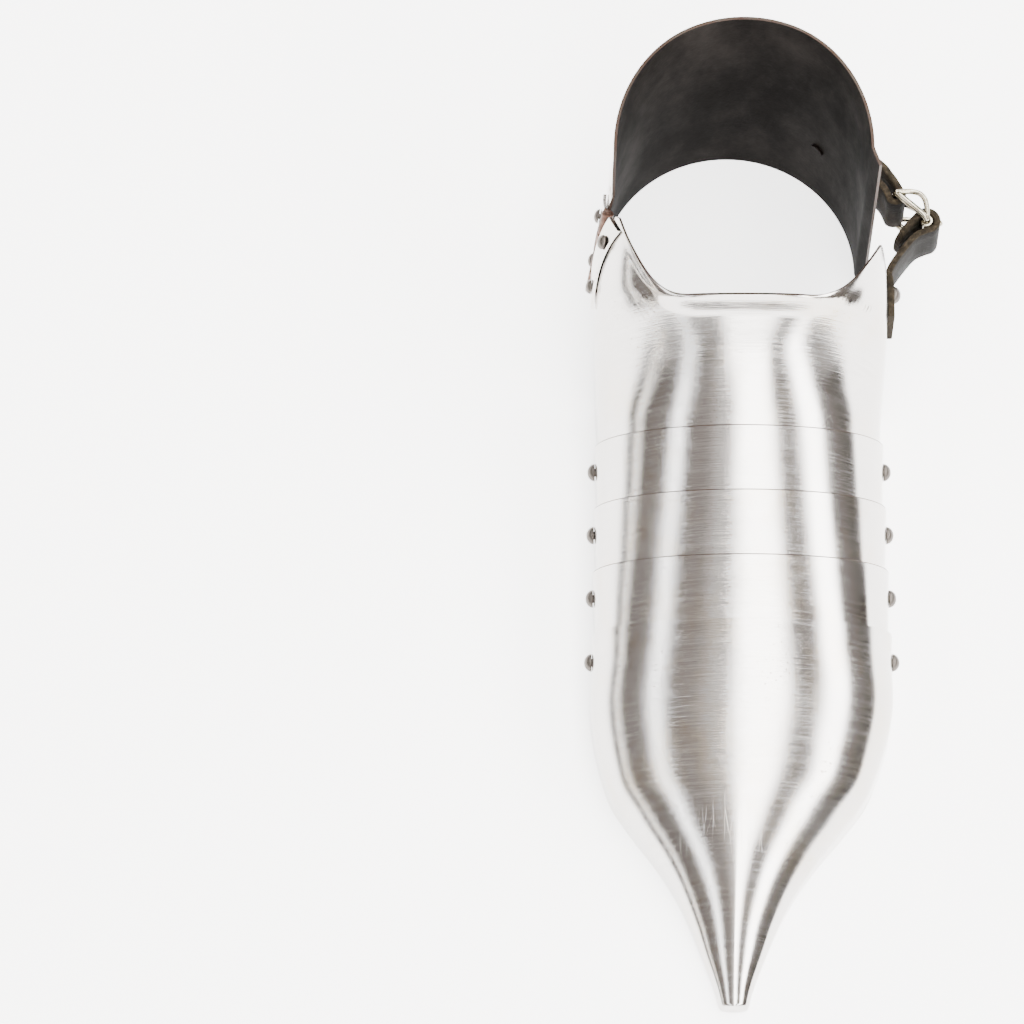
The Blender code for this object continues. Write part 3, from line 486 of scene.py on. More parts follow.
def arched_band():
    """Grid of a lame: rows run from its heel edge to its hidden front edge, columns across the foot."""
    sizes = ("Half width", "Taper", "Top", "Fall", "Wall", "Pivot", "Heel edge", "Front sole", "Front top",
             "Ear reach", "Ear radius", "Reach top")
    others = ("Rows", "NodeSocketInt"), ("Columns", "NodeSocketInt"), ("Zero", "NodeSocketVector")
    tree, given, result = new_rule("arched_band", [(s, "NodeSocketFloat") for s in sizes] + [
        *others, ("Finish", "NodeSocketMaterial")])
    size = {s: Sum(tree, given.outputs[s]) for s in sizes}
    grid = put(tree, "GeometryNodeMeshGrid", {
        "Vertices X": given.outputs["Rows"], "Vertices Y": given.outputs["Columns"]})
    place = put(tree, "ShaderNodeSeparateXYZ", {0: put(tree, "GeometryNodeInputPosition").outputs[0]})
    along, across = Sum(tree, place.outputs[0]) + 0.5, Sum(tree, place.outputs[1]) * 1.2 + 0.5
    crown = across.step("MAXIMUM", 0.0).step("MINIMUM", 1.0) * math.pi
    drop = (across * -1.0).step("MAXIMUM", across - 1.0).step("MAXIMUM", 0.0) * 10.0
    y = size["Heel edge"]
    for _ in range(LAME_ROUNDS):
        top = size["Top"] + (y - size["Heel edge"]) * size["Fall"]
        z = (size["Wall"] + (top - size["Wall"]) * crown.step("SINE")) * (drop * -1.0 + 1.0)
        height = (z / size["Reach top"]).step("MINIMUM", 1.0)
        low = (size["Ear radius"] - z).step("MAXIMUM", 0.0)
        ear = size["Ear radius"] - (size["Ear radius"] * size["Ear radius"] - low * low).step("SQRT")
        sole = size["Pivot"] + size["Ear reach"]
        heel = sole + (size["Heel edge"] - sole) * height - ear
        front = size["Front sole"] + (size["Front top"] - size["Front sole"]) * height + ear
        y = heel + (front - heel) * along
    x = crown.step("COSINE") * (size["Half width"] + (y - size["Pivot"]) * size["Taper"]) * -1.0
    point = put(tree, "ShaderNodeCombineXYZ", {0: x.socket, 1: y.socket, 2: z.socket})
    moved = put(tree, "ShaderNodeVectorMath", {0: point.outputs[0], 1: given.outputs["Zero"]})
    metres = put(tree, "ShaderNodeVectorMath", {0: moved.outputs[0], "Scale": 0.001}, operation="SCALE")
    bent = put(tree, "GeometryNodeSetPosition", {"Geometry": grid.outputs[0], "Position": metres.outputs[0]})
    whole = put(tree, "GeometryNodeRealizeInstances", {"Geometry": bent.outputs[0]})
    fed(tree, result, {0: put(tree, "GeometryNodeSetMaterial", {
        "Geometry": whole.outputs[0], "Material": given.outputs["Finish"]}).outputs[0]})
    return tree


def under_next(k):
    """Height of the middle line under the heel edge of the next plate."""
    over = edge_z(k + 1) if k < 2 else toe_section(edge_y(3))[1]
    return over - SHEET - TOP_GAP


band = arched_band()
for k in range(3):
    work = linked("band_work", bpy.data.meshes.new("band_work"))
    next_width = under_width(k + 1) if k < 2 else toe_section(pivot_y(3))[0] - SHEET - SIDE_GAP
    follow_rule(work, band, {
        "Half width": pivot_width(k), "Taper": (pivot_width(k) - next_width) / RIVET_PITCH,
        "Top": edge_z(k), "Fall": (edge_z(k) - under_next(k)) / EDGE_STEP, "Wall": SIDE_WALL,
        "Pivot": pivot_y(k), "Heel edge": edge_y(k), "Front sole": pivot_y(k + 1) - HIDDEN_LAP,
        "Front top": edge_y(k + 1) - HIDDEN_LAP, "Ear reach": EAR_REACH, "Ear radius": EAR_RADIUS,
        "Reach top": edge_z(k), "Rows": LAME_ROWS + 1, "Columns": LAME_COLUMNS,
        "Zero": DRAWING_ZERO, "Finish": edge_brown_and_shade})
    drawn = made_plain(work, "band_drawn")
    points = [v.co * 1000.0 - DRAWING_ZERO for v in drawn.data.vertices]
    rows = [points[i * LAME_COLUMNS:(i + 1) * LAME_COLUMNS] for i in range(LAME_ROWS + 1)]
    bpy.data.objects.remove(drawn, do_unlink=True)
    formed_plate(f"lame_{k + 1}_steel", rows, f"lame_{k + 1}", f"lame_{k + 1}_body", 1.7 * (k + 1))


# Instep plate: rises from under lame 1 to the ankle and wraps round the foot's sides. Its ankle opening
# has a small turned-out lip in front. The hinge and the front strap are riveted to its rear edges.
ANKLE_FRONT_Y, ANKLE_TOP_Z, ANKLE_SIDE_TOP_Z, ANKLE_SIDE_Y = 53.3, 98.0, 105.0, 75.0
ANKLE_SPREAD, ANKLE_SIDE_WALL, RISE_LENGTH = 0.7, 45.0, 51.0
INNER_OPENING_DEPTH, OUTER_OPENING_DEPTH, LIP_WIDTH, LIP_FLARE, LIP_LIFT = 86.0, 38.0, 7.0, 1.8, 0.7
SPLIT_SOLE_Y, SPLIT_TILT = 43.5, math.radians(30.0)
HINGE_LOW_Z, HINGE_HIGH_Z, KNUCKLE_R, KNUCKLE_ROOM = 52.0, 85.0, 2.4, 1.2
BARREL_TOP_Z, BARREL_ROOM = HINGE_HIGH_Z + KNUCKLE_R, (KNUCKLE_R + KNUCKLE_ROOM) / math.cos(SPLIT_TILT)
INSTEP_ROWS, INSTEP_ROUNDS, INSTEP_STEP = 56, 36, 0.2


def split_y(z):
    """The line where the heel plate and the instep plate part, upright above the hinge."""
    return SPLIT_SOLE_Y + min(z, BARREL_TOP_Z) * math.tan(SPLIT_TILT)


def instep_width(y):
    taper = (pivot_width(0) - under_width(1)) / RIVET_PITCH
    spread = ANKLE_SPREAD * eased((y - pivot_y(0) - EAR_REACH) / (ANKLE_FRONT_Y - pivot_y(0) - EAR_REACH))
    return under_width(0) + (min(y, ANKLE_FRONT_Y) - pivot_y(0)) * taper + spread


def instep_section(y):
    """Half width, height, side wall and bluntness of the instep plate at y."""
    rise = eased((y - pivot_y(0) - 0.5 * EAR_REACH) / RISE_LENGTH)
    hidden = edge_z(0) - SHEET - TOP_GAP
    if y < edge_y(0):
        top = hidden + (edge_y(0) - y) * (under_next(0) - edge_z(0)) / EDGE_STEP
    else:
        ahead, climb = min(y, ANKLE_FRONT_Y) - edge_y(0), ANKLE_FRONT_Y - edge_y(0)
        top = hidden + ahead * LAME_DROP / EDGE_STEP
        top += (ANKLE_TOP_Z - hidden - climb * LAME_DROP / EDGE_STEP) * (ahead / climb) ** 2
        top += (ANKLE_SIDE_TOP_Z - ANKLE_TOP_Z) * eased((y - ANKLE_FRONT_Y) / (ANKLE_SIDE_Y - ANKLE_FRONT_Y))
    return instep_width(y), top, SIDE_WALL + (ANKLE_SIDE_WALL - SIDE_WALL) * rise, 2.0 + rise


def instep_wall_x(y, z):
    width, top, wall, bluntness = instep_section(y)
    up = max(z - wall, 0.0) / (top - wall)
    return width * max(1.0 - up ** bluntness, 0.0) ** (1.0 / bluntness)


def instep_rows():
    """The grid of the instep plate. Each point settles in small steps, from the row before it."""
    toe_low, toe_high = pivot_y(0) - HIDDEN_LAP, edge_y(0) - HIDDEN_LAP
    rows = []
    for i in range(INSTEP_ROWS + 1):
        row = []
        for column in arch_columns():
            y = rows[-1][len(row)].y if rows else edge_y(0)
            for _ in range(INSTEP_ROUNDS):
                x, z = arch(*instep_section(y), column)
                toe = 2.0 * toe_low - ear_edge(z, toe_low, 2.0 * toe_low - toe_high, LAME_TOP_Z)
                out = abs(x) / instep_width(ANKLE_FRONT_Y)
                opening = ANKLE_FRONT_Y + (INNER_OPENING_DEPTH if x < 0.0 else OUTER_OPENING_DEPTH) * out ** 5
                heel = min(split_y(z) - BARREL_ROOM, opening)
                y += INSTEP_STEP * (toe + (heel - toe) * i / INSTEP_ROWS - y)
            lip = eased(1.0 - (opening - y) / LIP_WIDTH) * eased((z - ANKLE_SIDE_WALL) / 40.0)
            lip *= 1.0 - eased((out - 0.5) / 0.45)
            row.append(Vector((x, y - LIP_FLARE * lip, z + LIP_LIFT * lip)))
        rows.append(row)
    return rows


formed_plate("instep_plate_steel", instep_rows(), "instep_plate", "rear_assembly", 7.1, flipped=False)


# Heel plate: half a cylinder of the same sheet, open in front and above, black inside. It swings on the
# hinge at the inner side and is held shut by the strap at the outer side.
HEEL_CENTRE_Y, HEEL_RIM_R, HEEL_SOLE_R, HEEL_LEAN = 104.0, 50.6, 52.5, 3.0
HEEL_BACK_Z, HEEL_SIDE_Z, HEEL_FRONT_EXTRA, HEEL_FRONT_FLARE = 133.0, 114.0, 6.0, 3.0
HEEL_STEPS, HEEL_ROWS, ROUND_START, ROUND_END, BACK_MIDDLE = 130, 36, 0.22, 0.94, 0.57


def heel_circle(z):
    share = z / HEEL_BACK_Z
    return -HEEL_LEAN * (1.0 - share), HEEL_SOLE_R + (HEEL_RIM_R - HEEL_SOLE_R) * share


def heel_wall_x(y, z):
    centre, radius = heel_circle(z)
    front_y = split_y(z)
    front_x = instep_wall_x(front_y, min(z, BARREL_TOP_Z))
    return radius - centre + (front_x - (radius - centre)) * (HEEL_CENTRE_Y - y) / (HEEL_CENTRE_Y - front_y)


def heel_point(u, z):
    """Outer face of the heel plate; u runs from 0 at the inner front edge round the back to 1."""
    centre, radius = heel_circle(z)
    front_y = split_y(z) + BARREL_ROOM
    if u < ROUND_START:
        y = front_y + (HEEL_CENTRE_Y - front_y) * u / ROUND_START
        return Vector((-heel_wall_x(y, z), y, z))
    if u > ROUND_END:
        out = (u - ROUND_END) / (1.0 - ROUND_END)
        return Vector((centre + radius + HEEL_FRONT_FLARE * out, HEEL_CENTRE_Y - HEEL_FRONT_EXTRA * out, z))
    turn = math.pi * (u - ROUND_START) / (ROUND_END - ROUND_START)
    return Vector((centre - radius * math.cos(turn), HEEL_CENTRE_Y + radius * math.sin(turn), z))


def heel_rim_z(u):
    """The rim is highest at the back, and drops to the hinge at the inner front edge."""
    rim = HEEL_SIDE_Z + (HEEL_BACK_Z - HEEL_SIDE_Z) * eased(1.2 * (1.0 - abs(u / BACK_MIDDLE - 1.0)))
    return BARREL_TOP_Z + (rim - BARREL_TOP_Z) * eased(u / 0.2 + 0.08)


def heel_rows():
    edge = [j / HEEL_STEPS for j in range(HEEL_STEPS + 1)]
    return [[heel_point(u, heel_rim_z(u) * i / HEEL_ROWS) for u in edge] for i in range(HEEL_ROWS + 1)]


formed_plate("heel_plate_steel", heel_rows(), "heel_plate", "rear_assembly", 9.4)


# Rivets: nickelled, round-headed, hammered over flat inside. Four pairs are the axles that the lames and
# the toe plate turn on. Four smaller ones hold the hinge, and two hold the straps.
SEAT_GAP, RIVET_TAIL, TAIL_SHARE, SHANK_OVERLAP = 0.3, 0.8, 0.85, 0.6


def bright_rivet():
    finish, tree = new_finish("rivet_nickel")
    scuffs = cloudy(tree, 600.0, 4.0)
    worn = graded(tree, scuffs, (0.58, 0.0), (0.72, 0.8))
    colour = mixed(tree, worn, (0.74, 0.73, 0.71), (0.42, 0.37, 0.31))
    # Painted shade: the head's colour goes to a dark (0.10, 0.088, 0.078) close to where it sits on the
    # plate, graded by its stored height above the seat.
    seat = put(tree, "ShaderNodeAttribute", attribute_name="above_seat").outputs["Fac"]
    colour = mixed(tree, graded(tree, seat, (0.0, 0.0), (0.09, 1.0)), (0.10, 0.088, 0.078), colour)
    bump = raised(tree, scuffs, 0.25, 0.0002)
    return finished(finish, colour, ranged(tree, scuffs, 0.26, 0.45), bump, metallic=1.0)


def rivet_row():
    """A round head, a shank and a flat tail on each point, turned to the point's own direction."""
    sizes = ("Head radius", "Head height", "Shank radius", "Stack", "Tail")
    tree, given, result = new_rule("rivet_row", [(s, "NodeSocketFloat") for s in sizes] + [
        ("Finish", "NodeSocketMaterial"), ("Tail finish", "NodeSocketMaterial")])
    size = {s: Sum(tree, given.outputs[s]) for s in sizes}

    def marked(shape, above):
        """The shape with the height that its finish goes by: painted shade near the head's seat, and the
        tail's own finish.
        """
        return put(tree, "GeometryNodeStoreNamedAttribute", {
            0: shape.outputs[0], "Name": "above_seat", "Value": above}, data_type="FLOAT", domain="POINT")

    ball = put(tree, "GeometryNodeMeshUVSphere", {"Segments": 28, "Rings": 18, "Radius": 1.0})
    spot = put(tree, "ShaderNodeSeparateXYZ", {0: put(tree, "GeometryNodeInputPosition").outputs[0]})
    high = Sum(tree, spot.outputs[2]).step("MAXIMUM", 0.0)
    dome = put(tree, "ShaderNodeCombineXYZ", {
        0: (Sum(tree, spot.outputs[0]) * size["Head radius"]).socket,
        1: (Sum(tree, spot.outputs[1]) * size["Head radius"]).socket,
        2: (high * size["Head height"]).socket})
    head = put(tree, "GeometryNodeSetPosition", {"Geometry": ball.outputs[0], "Position": dome.outputs[0]})
    parts = [marked(put(tree, "GeometryNodeSetShadeSmooth", {0: head.outputs[0]}), high.socket)]
    for radius, length, middle, above in (
            (size["Shank radius"], size["Stack"] + SHANK_OVERLAP * 0.001, size["Stack"] * -0.5, 0.0),
            (size["Head radius"] * TAIL_SHARE, size["Tail"],
             (size["Stack"] + size["Tail"] * 0.5) * -1.0, -1.0)):
        bar = put(tree, "GeometryNodeMeshCylinder", {
            "Vertices": 24, "Radius": radius.socket, "Depth": length.socket})
        offset = put(tree, "ShaderNodeCombineXYZ", {2: middle.socket})
        parts.append(marked(put(tree, "GeometryNodeTransform", {
            0: bar.outputs[0], "Translation": offset.outputs[0]}), above))
    whole = put(tree, "GeometryNodeJoinGeometry")
    for part in parts:
        tree.links.new(part.outputs[0], whole.inputs[0])
    way = put(tree, "GeometryNodeInputNamedAttribute", {"Name": "way"}, data_type="FLOAT_VECTOR")
    turn = put(tree, "FunctionNodeAlignRotationToVector", {"Vector": way.outputs[0]}, axis="Z")
    rivets = put(tree, "GeometryNodeInstanceOnPoints", {
        "Points": given.outputs[0], "Instance": whole.outputs[0], "Rotation": turn.outputs[0]})
    real = put(tree, "GeometryNodeRealizeInstances", {"Geometry": rivets.outputs[0]})
    bright = put(tree, "GeometryNodeSetMaterial", {
        "Geometry": real.outputs[0], "Material": given.outputs["Finish"]})
    above = put(tree, "GeometryNodeInputNamedAttribute", {"Name": "above_seat"}, data_type="FLOAT")
    tail = put(tree, "FunctionNodeCompare", {0: above.outputs[0], 1: -0.5}, data_type="FLOAT",
               operation="LESS_THAN")
    fed(tree, result, {0: put(tree, "GeometryNodeSetMaterial", {
        "Geometry": bright.outputs[0], "Selection": tail.outputs[0],
        "Material": given.outputs["Tail finish"]}).outputs[0]})
    return tree


rivets_rule, rivet_nickel = rivet_row(), bright_rivet()


def set_rivets(name, places, nodes, body, head_r=3.5, head_h=2.9, shank_r=1.6, stack=2.0 * SHEET + SIDE_GAP):
    """One mesh of rivets for a body. A place is a point on the outer layer and a direction outwards."""
    mesh = bpy.data.meshes.new(name)
    mesh.from_pydata([placed(point + way.normalized() * SEAT_GAP) for point, way in places], [], [])
    directions = mesh.attributes.new("way", "FLOAT_VECTOR", "POINT")
    for i, (_, way) in enumerate(places):
        directions.data[i].vector = way.normalized()
    work = linked(name + "_work", mesh)
    follow_rule(work, rivets_rule, {
        "Head radius": head_r * 0.001, "Head height": head_h * 0.001, "Shank radius": shank_r * 0.001,
        "Stack": (stack + 2.0 * SEAT_GAP) * 0.001, "Tail": RIVET_TAIL * 0.001,
        "Finish": rivet_nickel, "Tail finish": inside_black})
    piece = made_plain(work, name)
    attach(piece, body)
    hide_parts(*nodes)


for k, body in enumerate(("rear_assembly", "lame_1_body", "lame_2_body", "lame_3_body")):
    width = pivot_width(k) if k < 3 else toe_section(pivot_y(3))[0]
    pair = [(Vector((side * width, pivot_y(k), RIVET_Z)), Vector((side, 0.0, 0.0))) for side in (-1, 1)]
    nodes = f"lame_rivet_inner_{k + 1}", f"lame_rivet_outer_{k + 1}"
    set_rivets(f"turning_rivets_{k + 1}", pair, nodes, body)


# Heel hinge: a bought butt hinge on the inner side. Its leaves are pale steel sheet, laid on the plates and
# riveted twice each. Three rolled knuckles and the pin, turned over at both ends, have gone copper-brown.
PIN_R, LEAF_WIDTH, LEAF_SHEET, LEAF_GAP, CENTRE_KNUCKLE = 1.1, 12.5, 1.2, 0.5, 0.46
LEAF_START, LEAF_ROWS, LEAF_COLUMNS = 3.1, 12, 16


def coppered():
    finish, tree = new_finish("hinge_copper_brown")
    age = cloudy(tree, 140.0, 6.0, 0.7)
    colour = graded(tree, age, (0.30, (0.030, 0.015, 0.010)), (0.48, (0.085, 0.045, 0.032)),
                    (0.66, (0.17, 0.105, 0.082)))
    grain = raised(tree, cloudy(tree, 1500.0), 0.35, 0.0001)
    return finished(finish, colour, ranged(tree, age, 0.55, 0.32), grain, metallic=0.85)


copper_brown, leaf_steel = coppered(), polished_steel("hinge_leaf", 11.8)


def solid_piece(name, grids, finish, sharp=40.0):
    """A mesh object from closed shells, each a (points, faces) pair in millimetres, right side out."""
    verts, faces = [], []
    for points, rings in grids:
        faces += [tuple(i + len(verts) for i in ring) for ring in rings]
        verts += [placed(p) for p in points]
    mesh = bpy.data.meshes.new(name)
    mesh.from_pydata(verts, [], faces)
    shape = bmesh.new()
    shape.from_mesh(mesh)
    bmesh.ops.recalc_face_normals(shape, faces=shape.faces)
    shape.to_mesh(mesh)
    shape.free()
    mesh.shade_smooth()
    mesh.set_sharp_from_angle(angle=math.radians(sharp))
    mesh.materials.append(finish)
    return linked(name, mesh)


def turned(base, axis, profile, sides=32):
    """Rings about an axis, one for each (distance along, radius) of the profile."""
    axis = Vector(axis).normalized()
    side = axis.orthogonal().normalized()
    other = axis.cross(side)
    return [[Vector(base) + axis * along + (side * math.cos(a) + other * math.sin(a)) * radius
             for a in (2.0 * math.pi * i / sides for i in range(sides))] for along, radius in profile]


def ring_shell(rows):
    """Closed shell from rings: joined in a loop, so that a bored cylinder needs no caps."""
    return joined_up(rows + [rows[0]], closed=True)


def capped_shell(rows):
    points, faces = joined_up(rows, closed=True)
    count = len(rows[0])
    return points, faces + [tuple(reversed(range(count))), tuple(range(len(points) - count, len(points)))]


def hinge_point(z):
    y = split_y(z)
    return Vector((-(instep_wall_x(y, z) + LEAF_GAP + 0.5 * LEAF_SHEET), y, z))


def leaf_place(front, share, reach):
    """A plate's wall, and the y and z on it square to the barrel, from a share of the barrel's length."""
    turn, wall = (-1.0, instep_wall_x) if front else (1.0, heel_wall_x)
    z = HINGE_LOW_Z + (HINGE_HIGH_Z - HINGE_LOW_Z) * share
    return wall, split_y(z) + turn * math.cos(SPLIT_TILT) * reach, z - turn * math.sin(SPLIT_TILT) * reach


def leaf_shell(front):
    """A leaf on the wall: a curved sheet from beside the barrel to its outer edge."""
    rows = []
    for i in range(LEAF_ROWS + 1):
        row = []
        for j in range(LEAF_COLUMNS + 1):
            reach = LEAF_START + (LEAF_WIDTH - LEAF_START) * i / LEAF_ROWS
            wall, y, z = leaf_place(front, j / LEAF_COLUMNS, reach)
            row.append(Vector((-(wall(y, z) + LEAF_GAP + LEAF_SHEET), y, z)))
        rows.append(row)
    outer, faces = joined_up(rows)
    size, width = len(outer), LEAF_COLUMNS + 1
    inner = [p + Vector((LEAF_SHEET, 0.0, 0.0)) for p in outer]
    rim = list(range(width)) + [width * i + LEAF_COLUMNS for i in range(1, LEAF_ROWS + 1)]
    rim += [LEAF_ROWS * width + j for j in range(LEAF_COLUMNS - 1, -1, -1)]
    rim += [width * i for i in range(LEAF_ROWS - 1, 0, -1)]
    faces += [tuple(size + k for k in reversed(f)) for f in faces]
    faces += [(b, a, size + a, size + b) for a, b in zip(rim, rim[1:] + rim[:1])]
    return outer + inner, faces


low_pin, high_pin = hinge_point(HINGE_LOW_Z), hinge_point(HINGE_HIGH_Z)
pin_axis = (high_pin - low_pin).normalized()
barrel = (high_pin - low_pin).length
first, last = 0.5 * (1.0 - CENTRE_KNUCKLE) * barrel, 0.5 * (1.0 + CENTRE_KNUCKLE) * barrel


def knuckle(start, end):
    """A rolled knuckle: a short tube with softened ends."""
    bore, soft = PIN_R + 0.5 * SEAT_GAP, 0.3
    return ring_shell(turned(low_pin, pin_axis, [
        (start, bore), (start, KNUCKLE_R - soft), (start + soft, KNUCKLE_R),
        (end - soft, KNUCKLE_R), (end, KNUCKLE_R - soft), (end, bore)]))


for label, front, spans in (("front", True, ((0.0, first - SEAT_GAP), (last + SEAT_GAP, barrel))),
                            ("rear", False, ((first, last),))):
    shells = [leaf_shell(front)] + [knuckle(*span) for span in spans]
    leaf = solid_piece(f"hinge_leaf_{label}_copper", shells, copper_brown)
    leaf.data.materials.append(leaf_steel)
    for face in leaf.data.polygons[:len(shells[0][1])]:
        face.material_index = 1
    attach(leaf, "rear_assembly")
    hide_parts(f"hinge_leaf_{label}")

pin_profile = [(-0.35, 0.5), (-0.25, PIN_R - 0.15), (0.0, PIN_R), (barrel, PIN_R),
               (barrel + 0.25, PIN_R - 0.15), (barrel + 0.35, 0.5)]
pin_shell = capped_shell(turned(low_pin, pin_axis, pin_profile))
hinge_pin = solid_piece("hinge_pin_copper", [pin_shell], copper_brown)
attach(hinge_pin, "rear_assembly")
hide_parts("hinge_pin")


def leaf_rivets(front):
    """Places of a leaf's two rivets, each with the direction straight out of the wall."""
    places = []
    for share in (0.22, 0.78):
        wall, y, z = leaf_place(front, share, 0.7 * LEAF_WIDTH)
        slopes = wall(y - 1.0, z) - wall(y + 1.0, z), wall(y, z - 1.0) - wall(y, z + 1.0)
        way = Vector((-2.0, *slopes)).normalized()
        places.append((Vector((-wall(y, z), y, z)) + way * (LEAF_GAP + LEAF_SHEET), way))
    return places


set_rivets("hinge_rivets", leaf_rivets(True) + leaf_rivets(False),
           ("hinge_rivet_front_1", "hinge_rivet_front_2", "hinge_rivet_rear_1", "hinge_rivet_rear_2"),
           "rear_assembly", 2.9, 2.0, 1.1, LEAF_SHEET + 2.0 * LEAF_GAP + SHEET)


# Straps: black grain leather, cut edges and flesh side left tan-brown. The front one is riveted to the
# instep plate and runs round the roller; the heel one is folded round the buckle's inner bar.
STRAP_WIDTH, STRAP_THICKNESS, STRAP_SOFTNESS, STRAP_Z = 23.0, 2.6, 0.55, 40.0
STRAP_FRONT_Y, STRAP_RIVET_Y, STRAP_LEAVES_Y, TAIL_LENGTH = 63.0, 77.0, 84.0, 13.0
HEEL_RIVET_ANGLE, BUCKLE_ANGLE = math.radians(47.0), math.radians(-42.5)
BAR, BUCKLE_REACH, WIRE_R, ROLLER_R = Vector((62.7, 116.0, 0.0)), 16.6, 1.4, 2.6
along = Vector((math.cos(BUCKLE_ANGLE), math.sin(BUCKLE_ANGLE), 0.0))
away = Vector((-along.y, along.x, 0.0))
roller_middle = BAR + along * BUCKLE_REACH
strap_level = Vector((0.0, 0.0, STRAP_Z))


def black_grain():
    """Grain side of the leather: pebbled, creased across, with worn brown high spots."""
    finish, tree = new_finish("leather_black_grain")
    pebbles = put(tree, "ShaderNodeTexVoronoi", {"Vector": stretched(tree, 1100.0), "Scale": 1.0})
    wear = cloudy(tree, (90.0, 90.0, 60.0), 5.0)
    colour = graded(tree, wear, (0.50, (0.004, 0.0036, 0.0032)), (0.72, (0.020, 0.016, 0.013)))
    creases = raised(tree, cloudy(tree, (260.0, 260.0, 30.0), 5.0, 0.65), 0.5, 0.0005)
    bump = raised(tree, pebbles.outputs["Distance"], 0.5, 0.0002, creases)
    return finished(finish, colour, ranged(tree, wear, 0.55, 0.8), bump, specular=0.05)


def brown_cut():
    """Cut edge and flesh side of the leather: fibrous brown."""
    finish, tree = new_finish("leather_brown_cut")
    fibres = cloudy(tree, (500.0, 500.0, 900.0), 6.0, 0.7)
    colour = graded(tree, fibres, (0.32, (0.006, 0.0048, 0.003)), (0.52, (0.019, 0.0145, 0.009)),
                    (0.72, (0.048, 0.037, 0.025)))
    return finished(finish, colour, 0.85, raised(tree, fibres, 0.5, 0.0004), specular=0.1)


grain, brown = black_grain(), brown_cut()


def curve_through(points, steps=8):
    """A smooth curve through points in plan."""
    made = []
    for i in range(len(points) - 1):
        p0, p1, p2, p3 = points[max(i - 1, 0)], points[i], points[i + 1], points[min(i + 2, len(points) - 1)]
        for s in range(steps):
            t = s / steps
            value = 2.0 * p1 + (p2 - p0) * t + (2.0 * p0 - 5.0 * p1 + 4.0 * p2 - p3) * t ** 2
            made.append((value + (3.0 * p1 - p0 - 3.0 * p2 + p3) * t ** 3) * 0.5)
    return made + [points[-1]]


def wrapped(centre, radius, first_way, second_way, start, end, steps):
    """Points round a bar, from one direction towards another."""
    turns = [math.radians(start + (end - start) * i / steps) for i in range(steps + 1)]
    return [centre + (first_way * math.cos(t) + second_way * math.sin(t)) * radius for t in turns]


def strap_section(half):
    """Points round the strap's section, with the five of the grain side first."""
    half_t, soft, nip = 0.5 * STRAP_THICKNESS, STRAP_SOFTNESS, 0.3 * STRAP_SOFTNESS
    side = [(half_t, v) for v in (-half + soft, -half * 0.5, 0.0, half * 0.5, half - soft)]
    side += [(half_t - nip, half - nip), (half_t - soft, half)]
    side += [(soft - half_t, half), (nip - half_t, half - nip)]
    return side + [(-a, -v) for a, v in side]


def leather_strap(name, path, grain_left, tip=0.0):
    """A strap on edge along a plan path, its grain on the left or the right of the way it runs."""
    lengths = [0.0]
    for a, b in zip(path, path[1:]):
        lengths.append(lengths[-1] + (b - a).length)
    rows = []
    for i, point in enumerate(path):
        ahead = (path[min(i + 1, len(path) - 1)] - path[max(i - 1, 0)]).normalized()
        side = Vector((-ahead.y, ahead.x, 0.0)) * (1.0 if grain_left else -1.0)
        left, half = lengths[-1] - lengths[i], 0.5 * STRAP_WIDTH
        if tip and left < tip:
            half *= 0.25 + 0.75 * math.sqrt(max(1.0 - (1.0 - left / tip) ** 2, 0.0))
        wave = 0.12 * math.sin(lengths[i] * 0.55) + 0.08 * math.sin(lengths[i] * 1.3)
        rows.append([point + strap_level + side * a + Vector((0.0, 0.0, v + wave * (abs(v) > 0.9 * half)))
                     for a, v in strap_section(half)])
    piece = solid_piece(name, [capped_shell(rows)], grain, 50.0)
    piece.data.materials.append(brown)
    for face in piece.data.polygons:
        on_grain = len(face.vertices) == 4 and max(v % len(rows[0]) for v in face.vertices) < 5
        face.material_index = 0 if on_grain else 1
    return piece


half_t = 0.5 * STRAP_THICKNESS
wall_x = instep_wall_x(STRAP_RIVET_Y, STRAP_Z) + 2.0 * SEAT_GAP + half_t
turn_r = ROLLER_R + SEAT_GAP + half_t
front_run = [Vector((wall_x, y, 0.0)) for y in (STRAP_FRONT_Y, STRAP_RIVET_Y, STRAP_LEAVES_Y)]
front_run.append(roller_middle + along * (turn_r - 3.2) - away * 9.0)
round_roller = wrapped(roller_middle, turn_r, along, away, -12.0, 180.0, 24)
tail = [roller_middle - along * turn_r - away * TAIL_LENGTH * share for share in (0.35, 0.7, 1.0)]
front_path = curve_through(front_run + [round_roller[0]])[:-1] + round_roller[:-1]
front_path += curve_through([round_roller[-1]] + tail, 6)
strap_front = leather_strap("strap_front_leather", front_path, False, 8.0)
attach(strap_front, "rear_assembly")
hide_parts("strap_front")

heel_middle_x, heel_r = heel_circle(STRAP_Z)
heel_middle = Vector((heel_middle_x, HEEL_CENTRE_Y, 0.0))
seat_r, bar_r = heel_r + SEAT_GAP + half_t, WIRE_R + SEAT_GAP + half_t
seat_angles = [HEEL_RIVET_ANGLE + math.radians(d) for d in (16, 13, 10, 7, 4, 0, -4, -7)]
seat = [heel_middle + Vector((math.cos(a), math.sin(a), 0.0)) * seat_r for a in seat_angles]
bow = [BAR + away * bar_r + Vector(step) for step in ((-9.5, 13.0, 0.0), (-3.6, 6.2, 0.0))]
fold = wrapped(BAR, bar_r, away, along, 0.0, 180.0, 18)
back = [BAR - away * bar_r + Vector(step) for step in ((-2.3, 5.2, 0.0), (-6.8, 10.6, 0.0))]
heel_path = seat[:-1] + curve_through([seat[-1]] + bow + [fold[0]])[:-1] + fold[:-1]
heel_path += curve_through([fold[-1]] + back)
strap_heel = leather_strap("strap_heel_leather", heel_path, True)
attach(strap_heel, "rear_assembly")
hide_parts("strap_heel")

